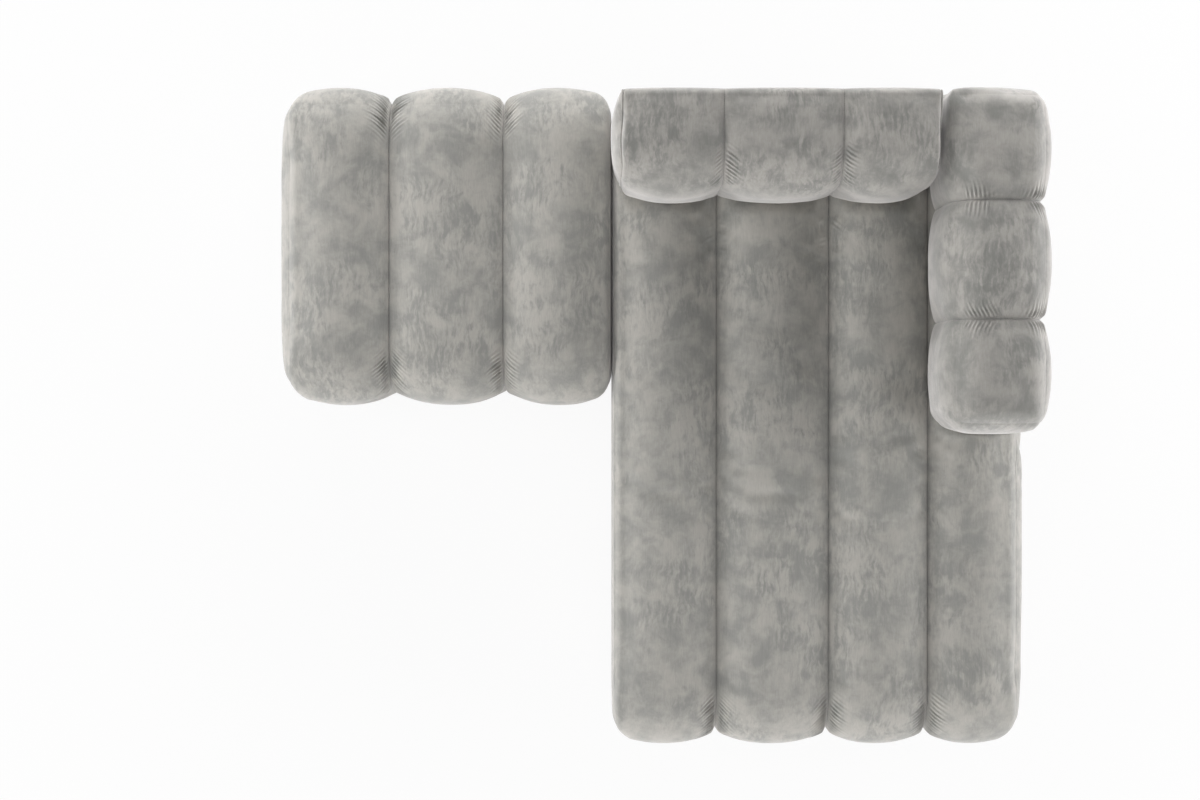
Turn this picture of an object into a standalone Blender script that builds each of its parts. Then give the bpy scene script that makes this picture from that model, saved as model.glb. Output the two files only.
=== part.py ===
"""Modular chaise longue: channel-quilted seat, plug-in backrest and armrest, and a docked pouf.

Metres, +Z up. The front faces -Y and the armrest stands on the +X side. The origin is on the floor,
under the middle of the whole lounge.
"""
import math
from dataclasses import dataclass

import bmesh
import bpy
from mathutils import Vector

# Seat modules
SEAT_HEIGHT = 0.420            # floor to the crown of a seat channel
FOOT_HEIGHT = 0.030            # floor to the top of a foot
CHAISE_LENGTH = 1.820
LEFT_CHANNEL = 0.289           # the chaise's channels, from left to right
MIDDLE_CHANNEL = 0.311
RIGHT_CHANNEL = 0.275
ARM_CHANNEL = 0.265            # this one carries the armrest
POUF_DEPTH = 0.880
POUF_OUTER_CHANNEL = 0.302
POUF_MIDDLE_CHANNEL = 0.316
MODULE_GAP = 0.0006            # between the covers of the pouf and the chaise
CHAISE_CHANNELS = (LEFT_CHANNEL, MIDDLE_CHANNEL, RIGHT_CHANNEL, ARM_CHANNEL)
POUF_CHANNELS = (POUF_OUTER_CHANNEL, POUF_MIDDLE_CHANNEL, POUF_OUTER_CHANNEL)

# Bolsters: the backrest spans from the left end of the seat to the armrest
BACK_DEPTH = 0.272
BACK_HEIGHT = 0.300
BACK_SETBACK = 0.002           # backrest's left end, in from the seat's left side
ARM_REAR_SEGMENT = 0.288
ARM_MIDDLE_SEGMENT = 0.311
ARM_FRONT_SEGMENT = 0.293
ARM_SEGMENTS = (ARM_REAR_SEGMENT, ARM_MIDDLE_SEGMENT, ARM_FRONT_SEGMENT)
ARM_DEPTH = 0.283              # across, from the seat side to the outer side
ARM_HEIGHT = 0.290
BOLSTER_SINK = 0.022           # how far a bolster presses into the crown of the seat
BOLSTER_GAP = 0.002            # between the backrest's right end and the armrest

# Quilting: a pair gives the value at the front and at the rear, or on top and at the ends
SEAT_SINKS = (0.018, 0.026)    # depth of a seam below its channel's edges, on top and at the ends
BACK_SINKS = (0.014, 0.012)
ARM_SINKS = (0.014, 0.010)
BACK_REAR_REACH = 0.25         # share of the sink that is left at the backrest's rear
FULL_TOP = 2.8                 # higher gives a flatter channel with a tighter fold into the seam
FULL_END = 2.1
END_SPREAD = 0.180             # how far from an end a seam starts to open
END_SHARE = 0.55               # how far it is open where the end begins to fall
SEAT_CROWN = 0.026             # swell of a channel across its top
BACK_CROWN = 0.012
ARM_CROWN = 0.014
ARM_ARCH = 0.018               # swell of the armrest's top from side to side
SEAT_BULGE = 0.012             # swell of the upright faces
DOCK_BULGE = 0.002             # where the pouf and the chaise press together
BACK_BULGES = (0.010, 0.004, 0.010, 0.002)     # left, right, front, rear
ARM_BULGE = 0.010
SEAT_ROUND_X = 0.062           # rounding of a seat, inwards from its sides
SEAT_ROUND_Y = 0.160           # inwards from its ends
CHAISE_REAR_ROUND = 0.060      # less under the backrest, which needs a flat rest
SEAT_ROUND_Z = 0.090           # downwards from its top
BACK_ROUND_X = (0.110, 0.020)
BACK_ROUND_Y = (0.140, 0.034)
BACK_ROUND_Z = (0.110, 0.030)
ARM_ROUND_X = 0.070
ARM_ROUND_Y = 0.125
ARM_ROUND_Z = 0.100
HEM_EDGE = 0.012               # rounding of a cover's lower edge
PRESS_RUN = 0.050              # length over which the seat rises again in front of a bolster
SHOULDER_LOOPS = (0.95, 0.72)  # across half a channel, from the seam to its middle
END_LOOPS = (1.0, 0.6, 0.3)    # across a rounding, from its inner end to the edge
EDGE_LOOPS = (1.0, 0.5)

# Padding between a cover's outside and the frame or foam inside it
CASE_WALL = 0.075
SEAT_WADDING = 0.095
BOLSTER_WADDING = 0.065        # at the front of a bolster
BOLSTER_TOP_WADDING = 0.085
BOLSTER_END_WADDING = 0.060
BACK_REAR_WADDING = 0.014
ARM_OUTER_WADDING = 0.079

# Seat frame
RAIL_THICKNESS = 0.028
RAIL_HEIGHT = 0.120
RAIL_EASE = 0.002              # eased edges of the timber
CROSS_RAIL_HEIGHT = 0.080
DUST_THICKNESS = 0.0012
DUST_MARGIN = 0.004            # dust cover, out past the frame
SPRING_WIRE = 0.0038
SPRING_WAVE = 0.088            # length of one wave
SPRING_SWING = 0.024           # half the width of the zig-zag
CHAISE_SPRINGS = 6
POUF_SPRINGS = 4
FELT_THICKNESS = 0.004

# Feet
FOOT_TOP_RADIUS = 0.030
FOOT_FLOOR_RADIUS = 0.024
FOOT_FLANGE = 0.004            # upright rim at the top of the foot
FOOT_EASE = 0.002
STUD_RADIUS = 0.005
STUD_LENGTH = 0.030
FOOT_INSET = 0.130             # from the end of a module to the middle of its end feet
TURN_STEPS = 16

# Tongues and sockets that hold the bolsters
TONGUE_WIDTH = 0.040
TONGUE_THICKNESS = 0.005
TONGUE_DROP = 0.130            # below the bolster
TONGUE_RISE = 0.150            # above the underside of the bolster
TONGUE_TIP = 0.012             # chamfer of the lower end
TONGUE_HOLE_RADIUS = 0.003
BACK_TONGUE_SPACING = 0.560
ARM_TONGUE_SPACING = 0.560
SOCKET_WALL = 0.002
SOCKET_PLAY = 0.0007           # round the tongue
SOCKET_PLATE = 0.003
SOCKET_PLATE_LENGTH = 0.090
SLOT_PLAY = 0.003              # round the tongue where it passes the cover

# Plywood of the bolsters
BOARD = 0.015
GUSSET_REACH = 0.110
GUSSET_HEIGHT = 0.150
GUSSET_NOSE = 0.025            # flat ends of the gusset's sloping edge

# Docking hardware under the pouf's right side
PLATE = 0.003
PLATE_WIDTH = 0.060
FORK_REACH = 0.036             # fork, out past the chaise's side
FORK_SLOT = 0.014              # slot width
PEG_RADIUS = 0.006
PEG_INSET = 0.012              # from the chaise's side to the middle of the peg
PEG_TIP = 0.014                # bracket, past the middle of the peg
PEG_SINK = 0.001               # root of the peg inside its bracket
JOGGLE = 0.0065                # step of the bracket below the fork
DOCK_INSET = 0.220             # from the pouf's ends to the middle of the hardware

# Clearances
FIT = 0.0003                   # between faces that touch
POCKET_FIT = 0.0005            # round a stud, gusset or tongue in its pocket
CUT_PAST = 0.010               # how far a cutter runs past what it opens
WELD = 0.00005
LEAST_STEP = 0.004             # closest two loops of a cover may lie

# Levels, from the floor up
DUST_LOW = FOOT_HEIGHT + FIT
FRAME_LOW = DUST_LOW + DUST_THICKNESS + FIT
RAIL_TOP = FRAME_LOW + RAIL_HEIGHT
SPRING_LEVEL = RAIL_TOP + FIT + SPRING_WIRE / 2
FELT_LOW = SPRING_LEVEL + SPRING_WIRE / 2 + FIT
FOAM_LOW = FELT_LOW + FELT_THICKNESS + FIT
CASE_TOP = SEAT_HEIGHT - SEAT_WADDING
PRESSED_LEVEL = SEAT_HEIGHT - BOLSTER_SINK
BOLSTER_LOW = PRESSED_LEVEL + FIT

PARTS = bpy.data.collections.new("modular_chaise_longue")
CUTTERS = bpy.data.collections.new("cutters")

# sRGB colour, roughness and metallic value of each finish
FINISHES = {
    "velvet": ("#989692", 0.85, 0.0),
    "foam": ("#E4DCB8", 0.95, 0.0),
    "felt": ("#6F6C66", 0.95, 0.0),
    "pine": ("#CDA873", 0.65, 0.0),
    "plywood": ("#BE9A68", 0.60, 0.0),
    "dust_cloth": ("#1B1B1C", 0.90, 0.0),
    "black_plastic": ("#1E1E1F", 0.45, 0.0),
    "spring_steel": ("#6E7074", 0.35, 1.0),
    "zinc_steel": ("#A9ACAE", 0.35, 1.0),
}


def linear(channel):
    """Linear value of one sRGB channel."""
    if channel <= 0.04045:
        return channel / 12.92
    return ((channel + 0.055) / 1.055) ** 2.4


def finish_material(name):
    """Principled material of a finish, made once."""
    existing = bpy.data.materials.get(name)
    if existing:
        return existing
    colour, roughness, metallic = FINISHES[name]
    material = bpy.data.materials.new(name)
    material.use_nodes = True
    shader = material.node_tree.nodes["Principled BSDF"]
    rgb = [linear(int(colour[i:i + 2], 16) / 255) for i in (1, 3, 5)]
    shader.inputs["Base Color"].default_value = (*rgb, 1.0)
    shader.inputs["Roughness"].default_value = roughness
    shader.inputs["Metallic"].default_value = metallic
    return material


def add_part(name, data, parent, finish):
    """Put a mesh or curve into the parts, under its module."""
    part = bpy.data.objects.new(name, data)
    PARTS.objects.link(part)
    part.parent = parent
    data.materials.append(finish_material(finish))
    return part


def add_empty(name, location, turn=0.0):
    """Frame of one module, which its pieces are placed in."""
    empty = bpy.data.objects.new(name, None)
    PARTS.objects.link(empty)
    empty.location = location
    empty.rotation_euler = (0.0, 0.0, turn)
    return empty


def box_mesh(name, low, high):
    """Box between two corners."""
    low, high = Vector(low), Vector(high)
    shape = bmesh.new()
    bmesh.ops.create_cube(shape, size=1.0)
    bmesh.ops.scale(shape, vec=high - low, verts=shape.verts)
    bmesh.ops.translate(shape, vec=(low + high) / 2, verts=shape.verts)
    return mesh_from(name, shape)


def rod_mesh(name, centre, radius, low, high):
    """Upright round bar."""
    shape = bmesh.new()
    bmesh.ops.create_cone(
        shape, cap_ends=True, segments=TURN_STEPS, radius1=radius, radius2=radius, depth=high - low)
    bmesh.ops.translate(shape, vec=(*centre, (low + high) / 2), verts=shape.verts)
    return mesh_from(name, shape)


def mesh_from(name, shape):
    """Turn a bmesh into mesh data and free it."""
    mesh = bpy.data.meshes.new(name)
    shape.to_mesh(mesh)
    shape.free()
    return mesh


def combine(part, mesh, operation="DIFFERENCE"):
    """Cut a tool shape out of a part, or join it on, in the part's own module."""
    tool = bpy.data.objects.new(mesh.name, mesh)
    CUTTERS.objects.link(tool)
    tool.parent = part.parent
    tool.hide_render = True
    tool.display_type = "WIRE"
    modifier = part.modifiers.new(operation.title(), "BOOLEAN")
    modifier.operation = operation
    modifier.object = tool


def shade_smooth(mesh):
    """Smooth shading, with edges over 40 degrees left sharp."""
    mesh.shade_smooth()
    mesh.set_sharp_from_angle(angle=math.radians(40))


def timber(name, low, high, parent, finish="pine"):
    """Sawn board with eased edges."""
    part = add_part(name, box_mesh(name, low, high), parent, finish)
    ease = part.modifiers.new("Eased edges", "BEVEL")
    ease.width = RAIL_EASE
    ease.segments = 1
    return part


def outline_curve(name, loops, thickness):
    """Flat plate from an outer loop and any holes."""
    curve = bpy.data.curves.new(name, "CURVE")
    curve.dimensions = "2D"
    curve.fill_mode = "BOTH"
    curve.extrude = thickness / 2
    for loop in loops:
        spline = curve.splines.new("POLY")
        spline.points.add(len(loop) - 1)
        for point, place in zip(spline.points, loop):
            point.co = (*place, 0.0, 1.0)
        spline.use_cyclic_u = True
    return curve


def plate(name, loops, thickness, parent, finish, location, turn=(0.0, 0.0, 0.0)):
    """Plate whose outline lies across its thickness, placed in its module."""
    part = add_part(name, outline_curve(name, loops, thickness), parent, finish)
    part.location = location
    part.rotation_euler = turn
    return part


def rectangle(low_x, high_x, low_y, high_y):
    """Four corners of a flat outline."""
    return [(low_x, low_y), (high_x, low_y), (high_x, high_y), (low_x, high_y)]


def arc(centre, radius, start, stop, steps):
    """Points along a circle, angles in degrees."""
    points = []
    for step in range(steps + 1):
        angle = math.radians(start + (stop - start) * step / steps)
        points.append((centre[0] + radius * math.cos(angle), centre[1] + radius * math.sin(angle)))
    return points


def circle(centre, radius):
    """Closed round hole."""
    return arc(centre, radius, 0, 360, TURN_STEPS)[:-1]


def seam_places(start, widths):
    """Places of the seams between neighbouring channels."""
    places = []
    for width in widths[:-1]:
        start += width
        places.append(start)
    return places


def smooth(value):
    """Ease from 0 to 1."""
    value = min(max(value, 0.0), 1.0)
    return value * value * (3.0 - 2.0 * value)


def mix(first, second, share):
    return first + (second - first) * share


@dataclass
class Press:
    """Part of a seat's top that a bolster flattens, from a front line back to the rear."""

    low_x: float
    high_x: float
    front: float


@dataclass
class Quilt:
    """Form of a stuffed cover whose channels lie side by side along X."""

    low: tuple
    high: tuple
    seams: list
    crown: float
    sinks: tuple
    bulges: tuple              # of the left, right, front and rear
    round_x: tuple             # roundings at the front and at the rear
    round_y: tuple
    round_z: tuple
    arch: float = 0.0
    rear_reach: float = 1.0
    presses: tuple = ()

    def __post_init__(self):
        """Core box that the swellings are added to."""
        left, right, front, rear = self.bulges
        self.core_low = Vector(self.low) + Vector((left, front, 0.0))
        self.core_high = Vector(self.high) - Vector((right, rear, self.crown + self.arch))
        self.half = (self.core_high - self.core_low) / 2
        self.centre = (self.core_high + self.core_low) / 2
        self.edges = [self.core_low.x, *self.seams, self.core_high.x]

    def across_channel(self, x):
        """Place across its channel, -1 to 1, and whether it is on the outer side of an end channel."""
        index = sum(1 for seam in self.seams if x > seam)
        low, high = self.edges[index], self.edges[index + 1]
        across = (x - low - (high - x)) / (high - low)
        outer = (index == 0 and across < 0) or (index == len(self.seams) and across > 0)
        return across, outer

    def rounded(self, point):
        """Point on the box with its edges rounded, the way it faces, and how far it faces front or rear."""
        run = self.core_high.y - self.core_low.y - sum(self.round_y)
        back = smooth((point.y - self.core_low.y - self.round_y[0]) / run)
        side = mix(*self.round_x, back)
        radii = ((side, side), self.round_y, (HEM_EDGE, mix(*self.round_z, back)))
        core = Vector(point)
        share = Vector((0.0, 0.0, 0.0))
        radius = Vector((0.0, 0.0, 0.0))
        for axis, (first, last) in enumerate(radii):
            low = self.core_low[axis] + first
            high = self.core_high[axis] - last
            core[axis] = min(max(point[axis], low), high)
            radius[axis] = first if point[axis] < low else last
            share[axis] = (point[axis] - core[axis]) / radius[axis]
        if share.z >= 0:
            normal = share.normalized()
            return core + Vector([normal[axis] * radius[axis] for axis in range(3)]), normal, normal.y
        reach = max(abs(share.x), abs(share.y))
        normal = Vector((share.x, share.y, 0.0)).normalized() * reach
        turn = -share.z * math.pi / 2
        inset = HEM_EDGE * (1.0 - math.cos(turn))
        place = core + Vector((normal.x * (radius.x - inset), normal.y * (radius.y - inset), 0.0))
        place.z = self.core_low.z + HEM_EDGE * (1.0 - math.sin(turn))
        return place, normal, normal.y

    def sink(self, point, normal, to_seam):
        """How far the seam draws the cover in at a point."""
        up, out = max(normal.z, 0.0) ** 2, normal.y ** 2
        ends = out / (out + up) if out > 0 else 0.0
        to_rear = (self.core_high.y - point.y) / self.rear_reach
        to_end = min(point.y - self.core_low.y, to_rear)
        ends = max(ends, END_SHARE * smooth(1.0 - to_end / END_SPREAD))
        full = mix(FULL_TOP, FULL_END, ends)
        reach = mix(self.rear_reach, 1.0, smooth((self.core_high.y - point.y) / self.half.y))
        return mix(*self.sinks, ends) * reach * (1.0 - (1.0 - to_seam ** full) ** (1.0 / full))

    def shape(self, point):
        """Move a point of the core box to the stuffed form."""
        place, normal, facing = self.rounded(point)
        across, outer = self.across_channel(point.x)
        swell = 1.0 - across ** 2
        if outer:
            swell = swell ** 2
        sink = self.sink(point, normal, 0.0 if outer else abs(across))
        span_y, span_z = [
            (1.0 - ((point[axis] - self.centre[axis]) / self.half[axis]) ** 2) ** 2 for axis in (1, 2)]
        left, right, front, rear = self.bulges
        place.x += normal.x * (left if normal.x < 0 else right) * span_y * span_z
        place.y += normal.y * (front if normal.y < 0 else rear) * swell * span_z - facing * sink
        place.z += max(normal.z, 0.0) * (self.crown * swell + self.arch * span_y - sink)
        for press in self.presses:
            if press.low_x < point.x < press.high_x:
                rise = smooth((point.y - press.front + PRESS_RUN) / PRESS_RUN)
                place.z -= rise * max(0.0, place.z - PRESSED_LEVEL)
        return place

    def loops_x(self):
        """Loops that carry the seams, their shoulders and the rounded ends."""
        loops = list(self.seams)
        for index, (low, high) in enumerate(zip(self.edges, self.edges[1:])):
            middle, half = (low + high) / 2, (high - low) / 2
            loops.append(middle)
            if index > 0:
                loops += [middle - half * share for share in SHOULDER_LOOPS]
            if index < len(self.seams):
                loops += [middle + half * share for share in SHOULDER_LOOPS]
        side = max(self.round_x)
        for share in EDGE_LOOPS:
            loops += [self.core_low.x + side * share, self.core_high.x - side * share]
        return loops

    def loops_y(self):
        """Loops that carry the rounded front and rear, the swell and the pressed areas."""
        middle = self.centre.y
        loops = [middle, (middle + self.core_low.y) / 2, (middle + self.core_high.y) / 2]
        for share in END_LOOPS:
            loops += [self.core_low.y + self.round_y[0] * share, self.core_high.y - self.round_y[1] * share]
        for press in self.presses:
            loops += [press.front - PRESS_RUN * share for share in (0.0, 0.5, 1.0)]
        return loops

    def loops_z(self):
        """Loops that carry the hem, the swell of the walls and the upper edge."""
        loops = [self.core_low.z + HEM_EDGE, self.centre.z]
        return loops + [self.core_high.z - self.round_z[0] * share for share in EDGE_LOOPS]

    def mesh(self, name):
        """Cut loops into a box, then stuff it."""
        shape = bmesh.new()
        bmesh.ops.create_cube(shape, size=1.0)
        bmesh.ops.scale(shape, vec=self.core_high - self.core_low, verts=shape.verts)
        bmesh.ops.translate(shape, vec=(self.core_low + self.core_high) / 2, verts=shape.verts)
        for axis, loops in enumerate((self.loops_x(), self.loops_y(), self.loops_z())):
            normal = Vector((0.0, 0.0, 0.0))
            normal[axis] = 1.0
            for level in spaced(loops, self.core_low[axis], self.core_high[axis]):
                everything = [*shape.verts, *shape.edges, *shape.faces]
                bmesh.ops.bisect_plane(shape, geom=everything, plane_co=normal * level, plane_no=normal)
        places = [self.shape(vert.co.copy()) for vert in shape.verts]
        for vert, place in zip(shape.verts, places):
            vert.co = place
        bmesh.ops.triangulate(shape, faces=shape.faces)
        mesh = mesh_from(name, shape)
        shade_smooth(mesh)
        return mesh


def spaced(levels, low, high):
    """Levels in order, without those that crowd the one before or an end."""
    kept = []
    last = low
    for level in sorted(levels):
        if level - last >= LEAST_STEP and high - level >= LEAST_STEP:
            kept.append(level)
            last = level
    return kept


class SeatModule:
    """One seat on its own frame. Its origin is on the floor, under its middle."""

    def __init__(self, name, channels, depth, location):
        self.name = name
        self.half_width = sum(channels) / 2
        self.half_depth = depth / 2
        self.case_x = self.half_width - CASE_WALL
        self.case_y = self.half_depth - CASE_WALL
        self.frame_x = self.case_x - FIT
        self.frame_y = self.case_y - FIT
        self.seams = seam_places(-self.half_width, channels)
        self.rail_x = self.frame_x - RAIL_THICKNESS / 2
        self.rail_y = self.frame_y - RAIL_THICKNESS / 2
        self.spring_right = self.rail_x
        self.empty = add_empty(name, location)

    def foot_places(self, rows):
        """Middles of the feet, in rows along the side rails."""
        reach = self.half_depth - FOOT_INSET
        lines = [-reach + 2 * reach * row / (rows - 1) for row in range(rows)]
        return [(x, y) for x in (-self.rail_x, self.rail_x) for y in lines]

    def add_rails(self, feet):
        """Side rails over the feet, with front and rear rails between them."""
        rails = {}
        for side, sign in (("left", -1), ("right", 1)):
            low_x = sign * self.rail_x - RAIL_THICKNESS / 2
            low = (low_x, -self.frame_y, FRAME_LOW)
            high = (low_x + RAIL_THICKNESS, self.frame_y, RAIL_TOP)
            rails[sign] = timber(f"{self.name}_{side}_rail", low, high, self.empty)
        for centre in feet:
            rail = rails[-1 if centre[0] < 0 else 1]
            bore_top = FOOT_HEIGHT + STUD_LENGTH + POCKET_FIT
            radius = STUD_RADIUS + POCKET_FIT
            combine(rail, rod_mesh(f"{rail.name}_bore", centre, radius, FRAME_LOW - CUT_PAST, bore_top))
        inner_x = self.frame_x - RAIL_THICKNESS - FIT
        for side, sign in (("front", -1), ("rear", 1)):
            low_y = sign * self.rail_y - RAIL_THICKNESS / 2
            low = (-inner_x, low_y, FRAME_LOW)
            timber(f"{self.name}_{side}_rail", low, (inner_x, low_y + RAIL_THICKNESS, RAIL_TOP), self.empty)

    def add_feet(self, feet):
        """Turned plastic feet, each with the stud that screws into its rail."""
        profile = [
            (0.0, FOOT_HEIGHT + STUD_LENGTH),
            (STUD_RADIUS, FOOT_HEIGHT + STUD_LENGTH),
            (STUD_RADIUS, FOOT_HEIGHT),
            (FOOT_TOP_RADIUS, FOOT_HEIGHT),
            (FOOT_TOP_RADIUS, FOOT_HEIGHT - FOOT_FLANGE),
            (FOOT_FLOOR_RADIUS, FOOT_EASE),
            (FOOT_FLOOR_RADIUS - FOOT_EASE, 0.0),
            (0.0, 0.0),
        ]
        for number, centre in enumerate(feet, start=1):
            mesh = bpy.data.meshes.new(f"{self.name}_foot_{number}")
            points = [(radius, 0.0, level) for radius, level in profile]
            mesh.from_pydata(points, [(i, i + 1) for i in range(len(points) - 1)], [])
            foot = add_part(mesh.name, mesh, self.empty, "black_plastic")
            foot.location = (*centre, 0.0)
            turn = foot.modifiers.new("Turned", "SCREW")
            turn.steps = TURN_STEPS
            turn.render_steps = TURN_STEPS
            turn.use_merge_vertices = True
            turn.merge_threshold = WELD

    def add_springs(self, count):
        """Zig-zag wires from the left rail to the rail on their right."""
        run = self.spring_right + self.rail_x
        waves = max(1, int((run - 2 * RAIL_THICKNESS) / SPRING_WAVE))
        start = -self.rail_x + (run - waves * SPRING_WAVE) / 2
        bay = self.rail_y - RAIL_THICKNESS / 2
        for number in range(count):
            line = -bay + 2 * bay * (number + 0.5) / count
            path = [(-self.rail_x, line)]
            for half_wave in range(2 * waves):
                left = start + half_wave * SPRING_WAVE / 2
                side = line + SPRING_SWING * (1 if half_wave % 2 else -1)
                path += [(left + SPRING_WAVE * share, side) for share in (0.1, 0.4)]
            path.append((self.spring_right, line))
            curve = bpy.data.curves.new(f"{self.name}_spring_{number + 1}", "CURVE")
            curve.dimensions = "3D"
            curve.bevel_depth = SPRING_WIRE / 2
            curve.bevel_resolution = 1
            curve.use_fill_caps = True
            spline = curve.splines.new("POLY")
            spline.points.add(len(path) - 1)
            for point, place in zip(spline.points, path):
                point.co = (*place, SPRING_LEVEL, 1.0)
            add_part(curve.name, curve, self.empty, "spring_steel")

    def add_felt(self):
        """Felt pad that keeps the foam off the springs, clear of what stands on the outer rails."""
        reach_y = self.frame_y - RAIL_THICKNESS - FIT
        low = (-self.frame_x, -reach_y, FELT_LOW)
        high = (self.spring_right + RAIL_THICKNESS / 2, reach_y, FELT_LOW + FELT_THICKNESS)
        add_part(f"{self.name}_felt", box_mesh(f"{self.name}_felt", low, high), self.empty, "felt")

    def add_foam(self):
        """Foam core that fills the cover above the frame."""
        low = (-self.frame_x, -self.frame_y, FOAM_LOW)
        mesh = box_mesh(f"{self.name}_foam", low, (self.frame_x, self.frame_y, CASE_TOP - FIT))
        return add_part(mesh.name, mesh, self.empty, "foam")

    def add_cover(self, side_bulges, rear_round=SEAT_ROUND_Y, presses=()):
        """Quilted cover, open below, drawn over the foam and the frame."""
        quilt = Quilt(
            low=(-self.half_width, -self.half_depth, FRAME_LOW),
            high=(self.half_width, self.half_depth, SEAT_HEIGHT),
            seams=self.seams, crown=SEAT_CROWN, sinks=SEAT_SINKS,
            bulges=(*side_bulges, SEAT_BULGE, SEAT_BULGE),
            round_x=(SEAT_ROUND_X, SEAT_ROUND_X), round_y=(SEAT_ROUND_Y, rear_round),
            round_z=(SEAT_ROUND_Z, SEAT_ROUND_Z), presses=tuple(presses))
        cover = add_part(f"{self.name}_cover", quilt.mesh(f"{self.name}_cover"), self.empty, "velvet")
        low = (-self.case_x, -self.case_y, FRAME_LOW - CUT_PAST)
        combine(cover, box_mesh(f"{self.name}_case", low, (self.case_x, self.case_y, CASE_TOP)))
        return cover

    def add_dust_cover(self, feet):
        """Cloth stapled under the frame, with a hole for each stud."""
        reach_x = self.frame_x + DUST_MARGIN
        reach_y = self.frame_y + DUST_MARGIN
        loops = [rectangle(-reach_x, reach_x, -reach_y, reach_y)]
        loops += [circle(centre, STUD_RADIUS + POCKET_FIT) for centre in feet]
        level = DUST_LOW + DUST_THICKNESS / 2
        plate(f"{self.name}_dust_cover", loops, DUST_THICKNESS, self.empty, "dust_cloth", (0.0, 0.0, level))


class Bolster:
    """Backrest or armrest on two tongues. Its origin is under its middle, X along it, rear at +Y."""

    def __init__(self, name, length, depth, height, rear_wadding, tongue_spacing, empty):
        self.name = name
        self.half_length = length / 2
        self.half_depth = depth / 2
        self.height = height
        self.empty = empty
        self.case_x = self.half_length - BOLSTER_END_WADDING
        self.case_front = -self.half_depth + BOLSTER_WADDING
        self.case_rear = self.half_depth - rear_wadding
        self.case_top = height - BOLSTER_TOP_WADDING
        self.board_front = self.case_rear - FIT - BOARD
        self.tongue_rear = self.board_front - FIT
        self.tongue_places = (-tongue_spacing / 2, tongue_spacing / 2)

    def tongue_box(self, x, play, low, high):
        """Corners round one tongue, with some play."""
        front = self.tongue_rear - TONGUE_THICKNESS - play
        rear = self.tongue_rear + play
        half = TONGUE_WIDTH / 2 + play
        return (x - half, front, low), (x + half, rear, high)

    def add_boards(self):
        """Base board with slots for the tongues, and the upright board at the rear."""
        reach = self.case_x - FIT
        rear = self.case_rear - FIT
        low = (-reach, self.case_front + FIT, 0.0)
        base = timber(f"{self.name}_base_board", low, (reach, rear, BOARD), self.empty, "plywood")
        for x in self.tongue_places:
            corners = self.tongue_box(x, POCKET_FIT, -CUT_PAST, BOARD + CUT_PAST)
            combine(base, box_mesh(f"{self.name}_tongue_slot", *corners))
        low = (-reach, self.board_front, BOARD + FIT)
        high = (reach, rear, self.case_top - FIT)
        timber(f"{self.name}_upright_board", low, high, self.empty, "plywood")

    def add_gusset(self):
        """Plywood bracket that keeps the upright board square to the base board."""
        outline = [
            (0.0, 0.0),
            (-GUSSET_REACH, 0.0),
            (-GUSSET_REACH, GUSSET_NOSE),
            (-GUSSET_NOSE, GUSSET_HEIGHT),
            (0.0, GUSSET_HEIGHT),
        ]
        place = (0.0, self.board_front - FIT, BOARD + FIT)
        turn = (math.pi / 2, 0.0, math.pi / 2)
        plate(f"{self.name}_gusset", [outline], BOARD, self.empty, "plywood", place, turn)

    def add_tongues(self):
        """Flat steel bars screwed to the upright board, which plug into the seat."""
        half = TONGUE_WIDTH / 2
        outline = [
            (-half, TONGUE_RISE),
            (-half, TONGUE_TIP - TONGUE_DROP),
            (TONGUE_TIP - half, -TONGUE_DROP),
            (half - TONGUE_TIP, -TONGUE_DROP),
            (half, TONGUE_TIP - TONGUE_DROP),
            (half, TONGUE_RISE),
        ]
        levels = [BOARD + (TONGUE_RISE - BOARD) * share for share in (0.25, 0.75)]
        holes = [circle((0.0, level), TONGUE_HOLE_RADIUS) for level in levels]
        for number, x in enumerate(self.tongue_places, start=1):
            place = (x, self.tongue_rear - TONGUE_THICKNESS / 2, 0.0)
            turn = (math.pi / 2, 0.0, 0.0)
            name = f"{self.name}_tongue_{number}"
            plate(name, [outline, *holes], TONGUE_THICKNESS, self.empty, "zinc_steel", place, turn)

    def add_foam(self):
        """Foam block in front of the upright board, with pockets for the gusset and the tongues."""
        reach = self.case_x - FIT
        low = (-reach, self.case_front + FIT, BOARD + FIT)
        high = (reach, self.board_front - FIT, self.case_top - FIT)
        foam = add_part(f"{self.name}_foam", box_mesh(f"{self.name}_foam", low, high), self.empty, "foam")
        half = BOARD / 2 + POCKET_FIT
        low = (-half, self.board_front - FIT - GUSSET_REACH - POCKET_FIT, -CUT_PAST)
        high = (half, self.board_front + CUT_PAST, BOARD + FIT + GUSSET_HEIGHT + POCKET_FIT)
        combine(foam, box_mesh(f"{self.name}_gusset_pocket", low, high))
        for x in self.tongue_places:
            corners = self.tongue_box(x, POCKET_FIT, -CUT_PAST, TONGUE_RISE + POCKET_FIT)
            combine(foam, box_mesh(f"{self.name}_tongue_pocket", *corners))

    def add_cover(self, seams, **form):
        """Quilted cover, open below."""
        quilt = Quilt(
            low=(-self.half_length, -self.half_depth, 0.0),
            high=(self.half_length, self.half_depth, self.height),
            seams=seams, **form)
        cover = add_part(f"{self.name}_cover", quilt.mesh(f"{self.name}_cover"), self.empty, "velvet")
        low = (-self.case_x, self.case_front, -CUT_PAST)
        combine(cover, box_mesh(f"{self.name}_case", low, (self.case_x, self.case_rear, self.case_top)))

    def add_inside(self):
        """Everything under the cover."""
        self.add_boards()
        self.add_gusset()
        self.add_tongues()
        self.add_foam()


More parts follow.
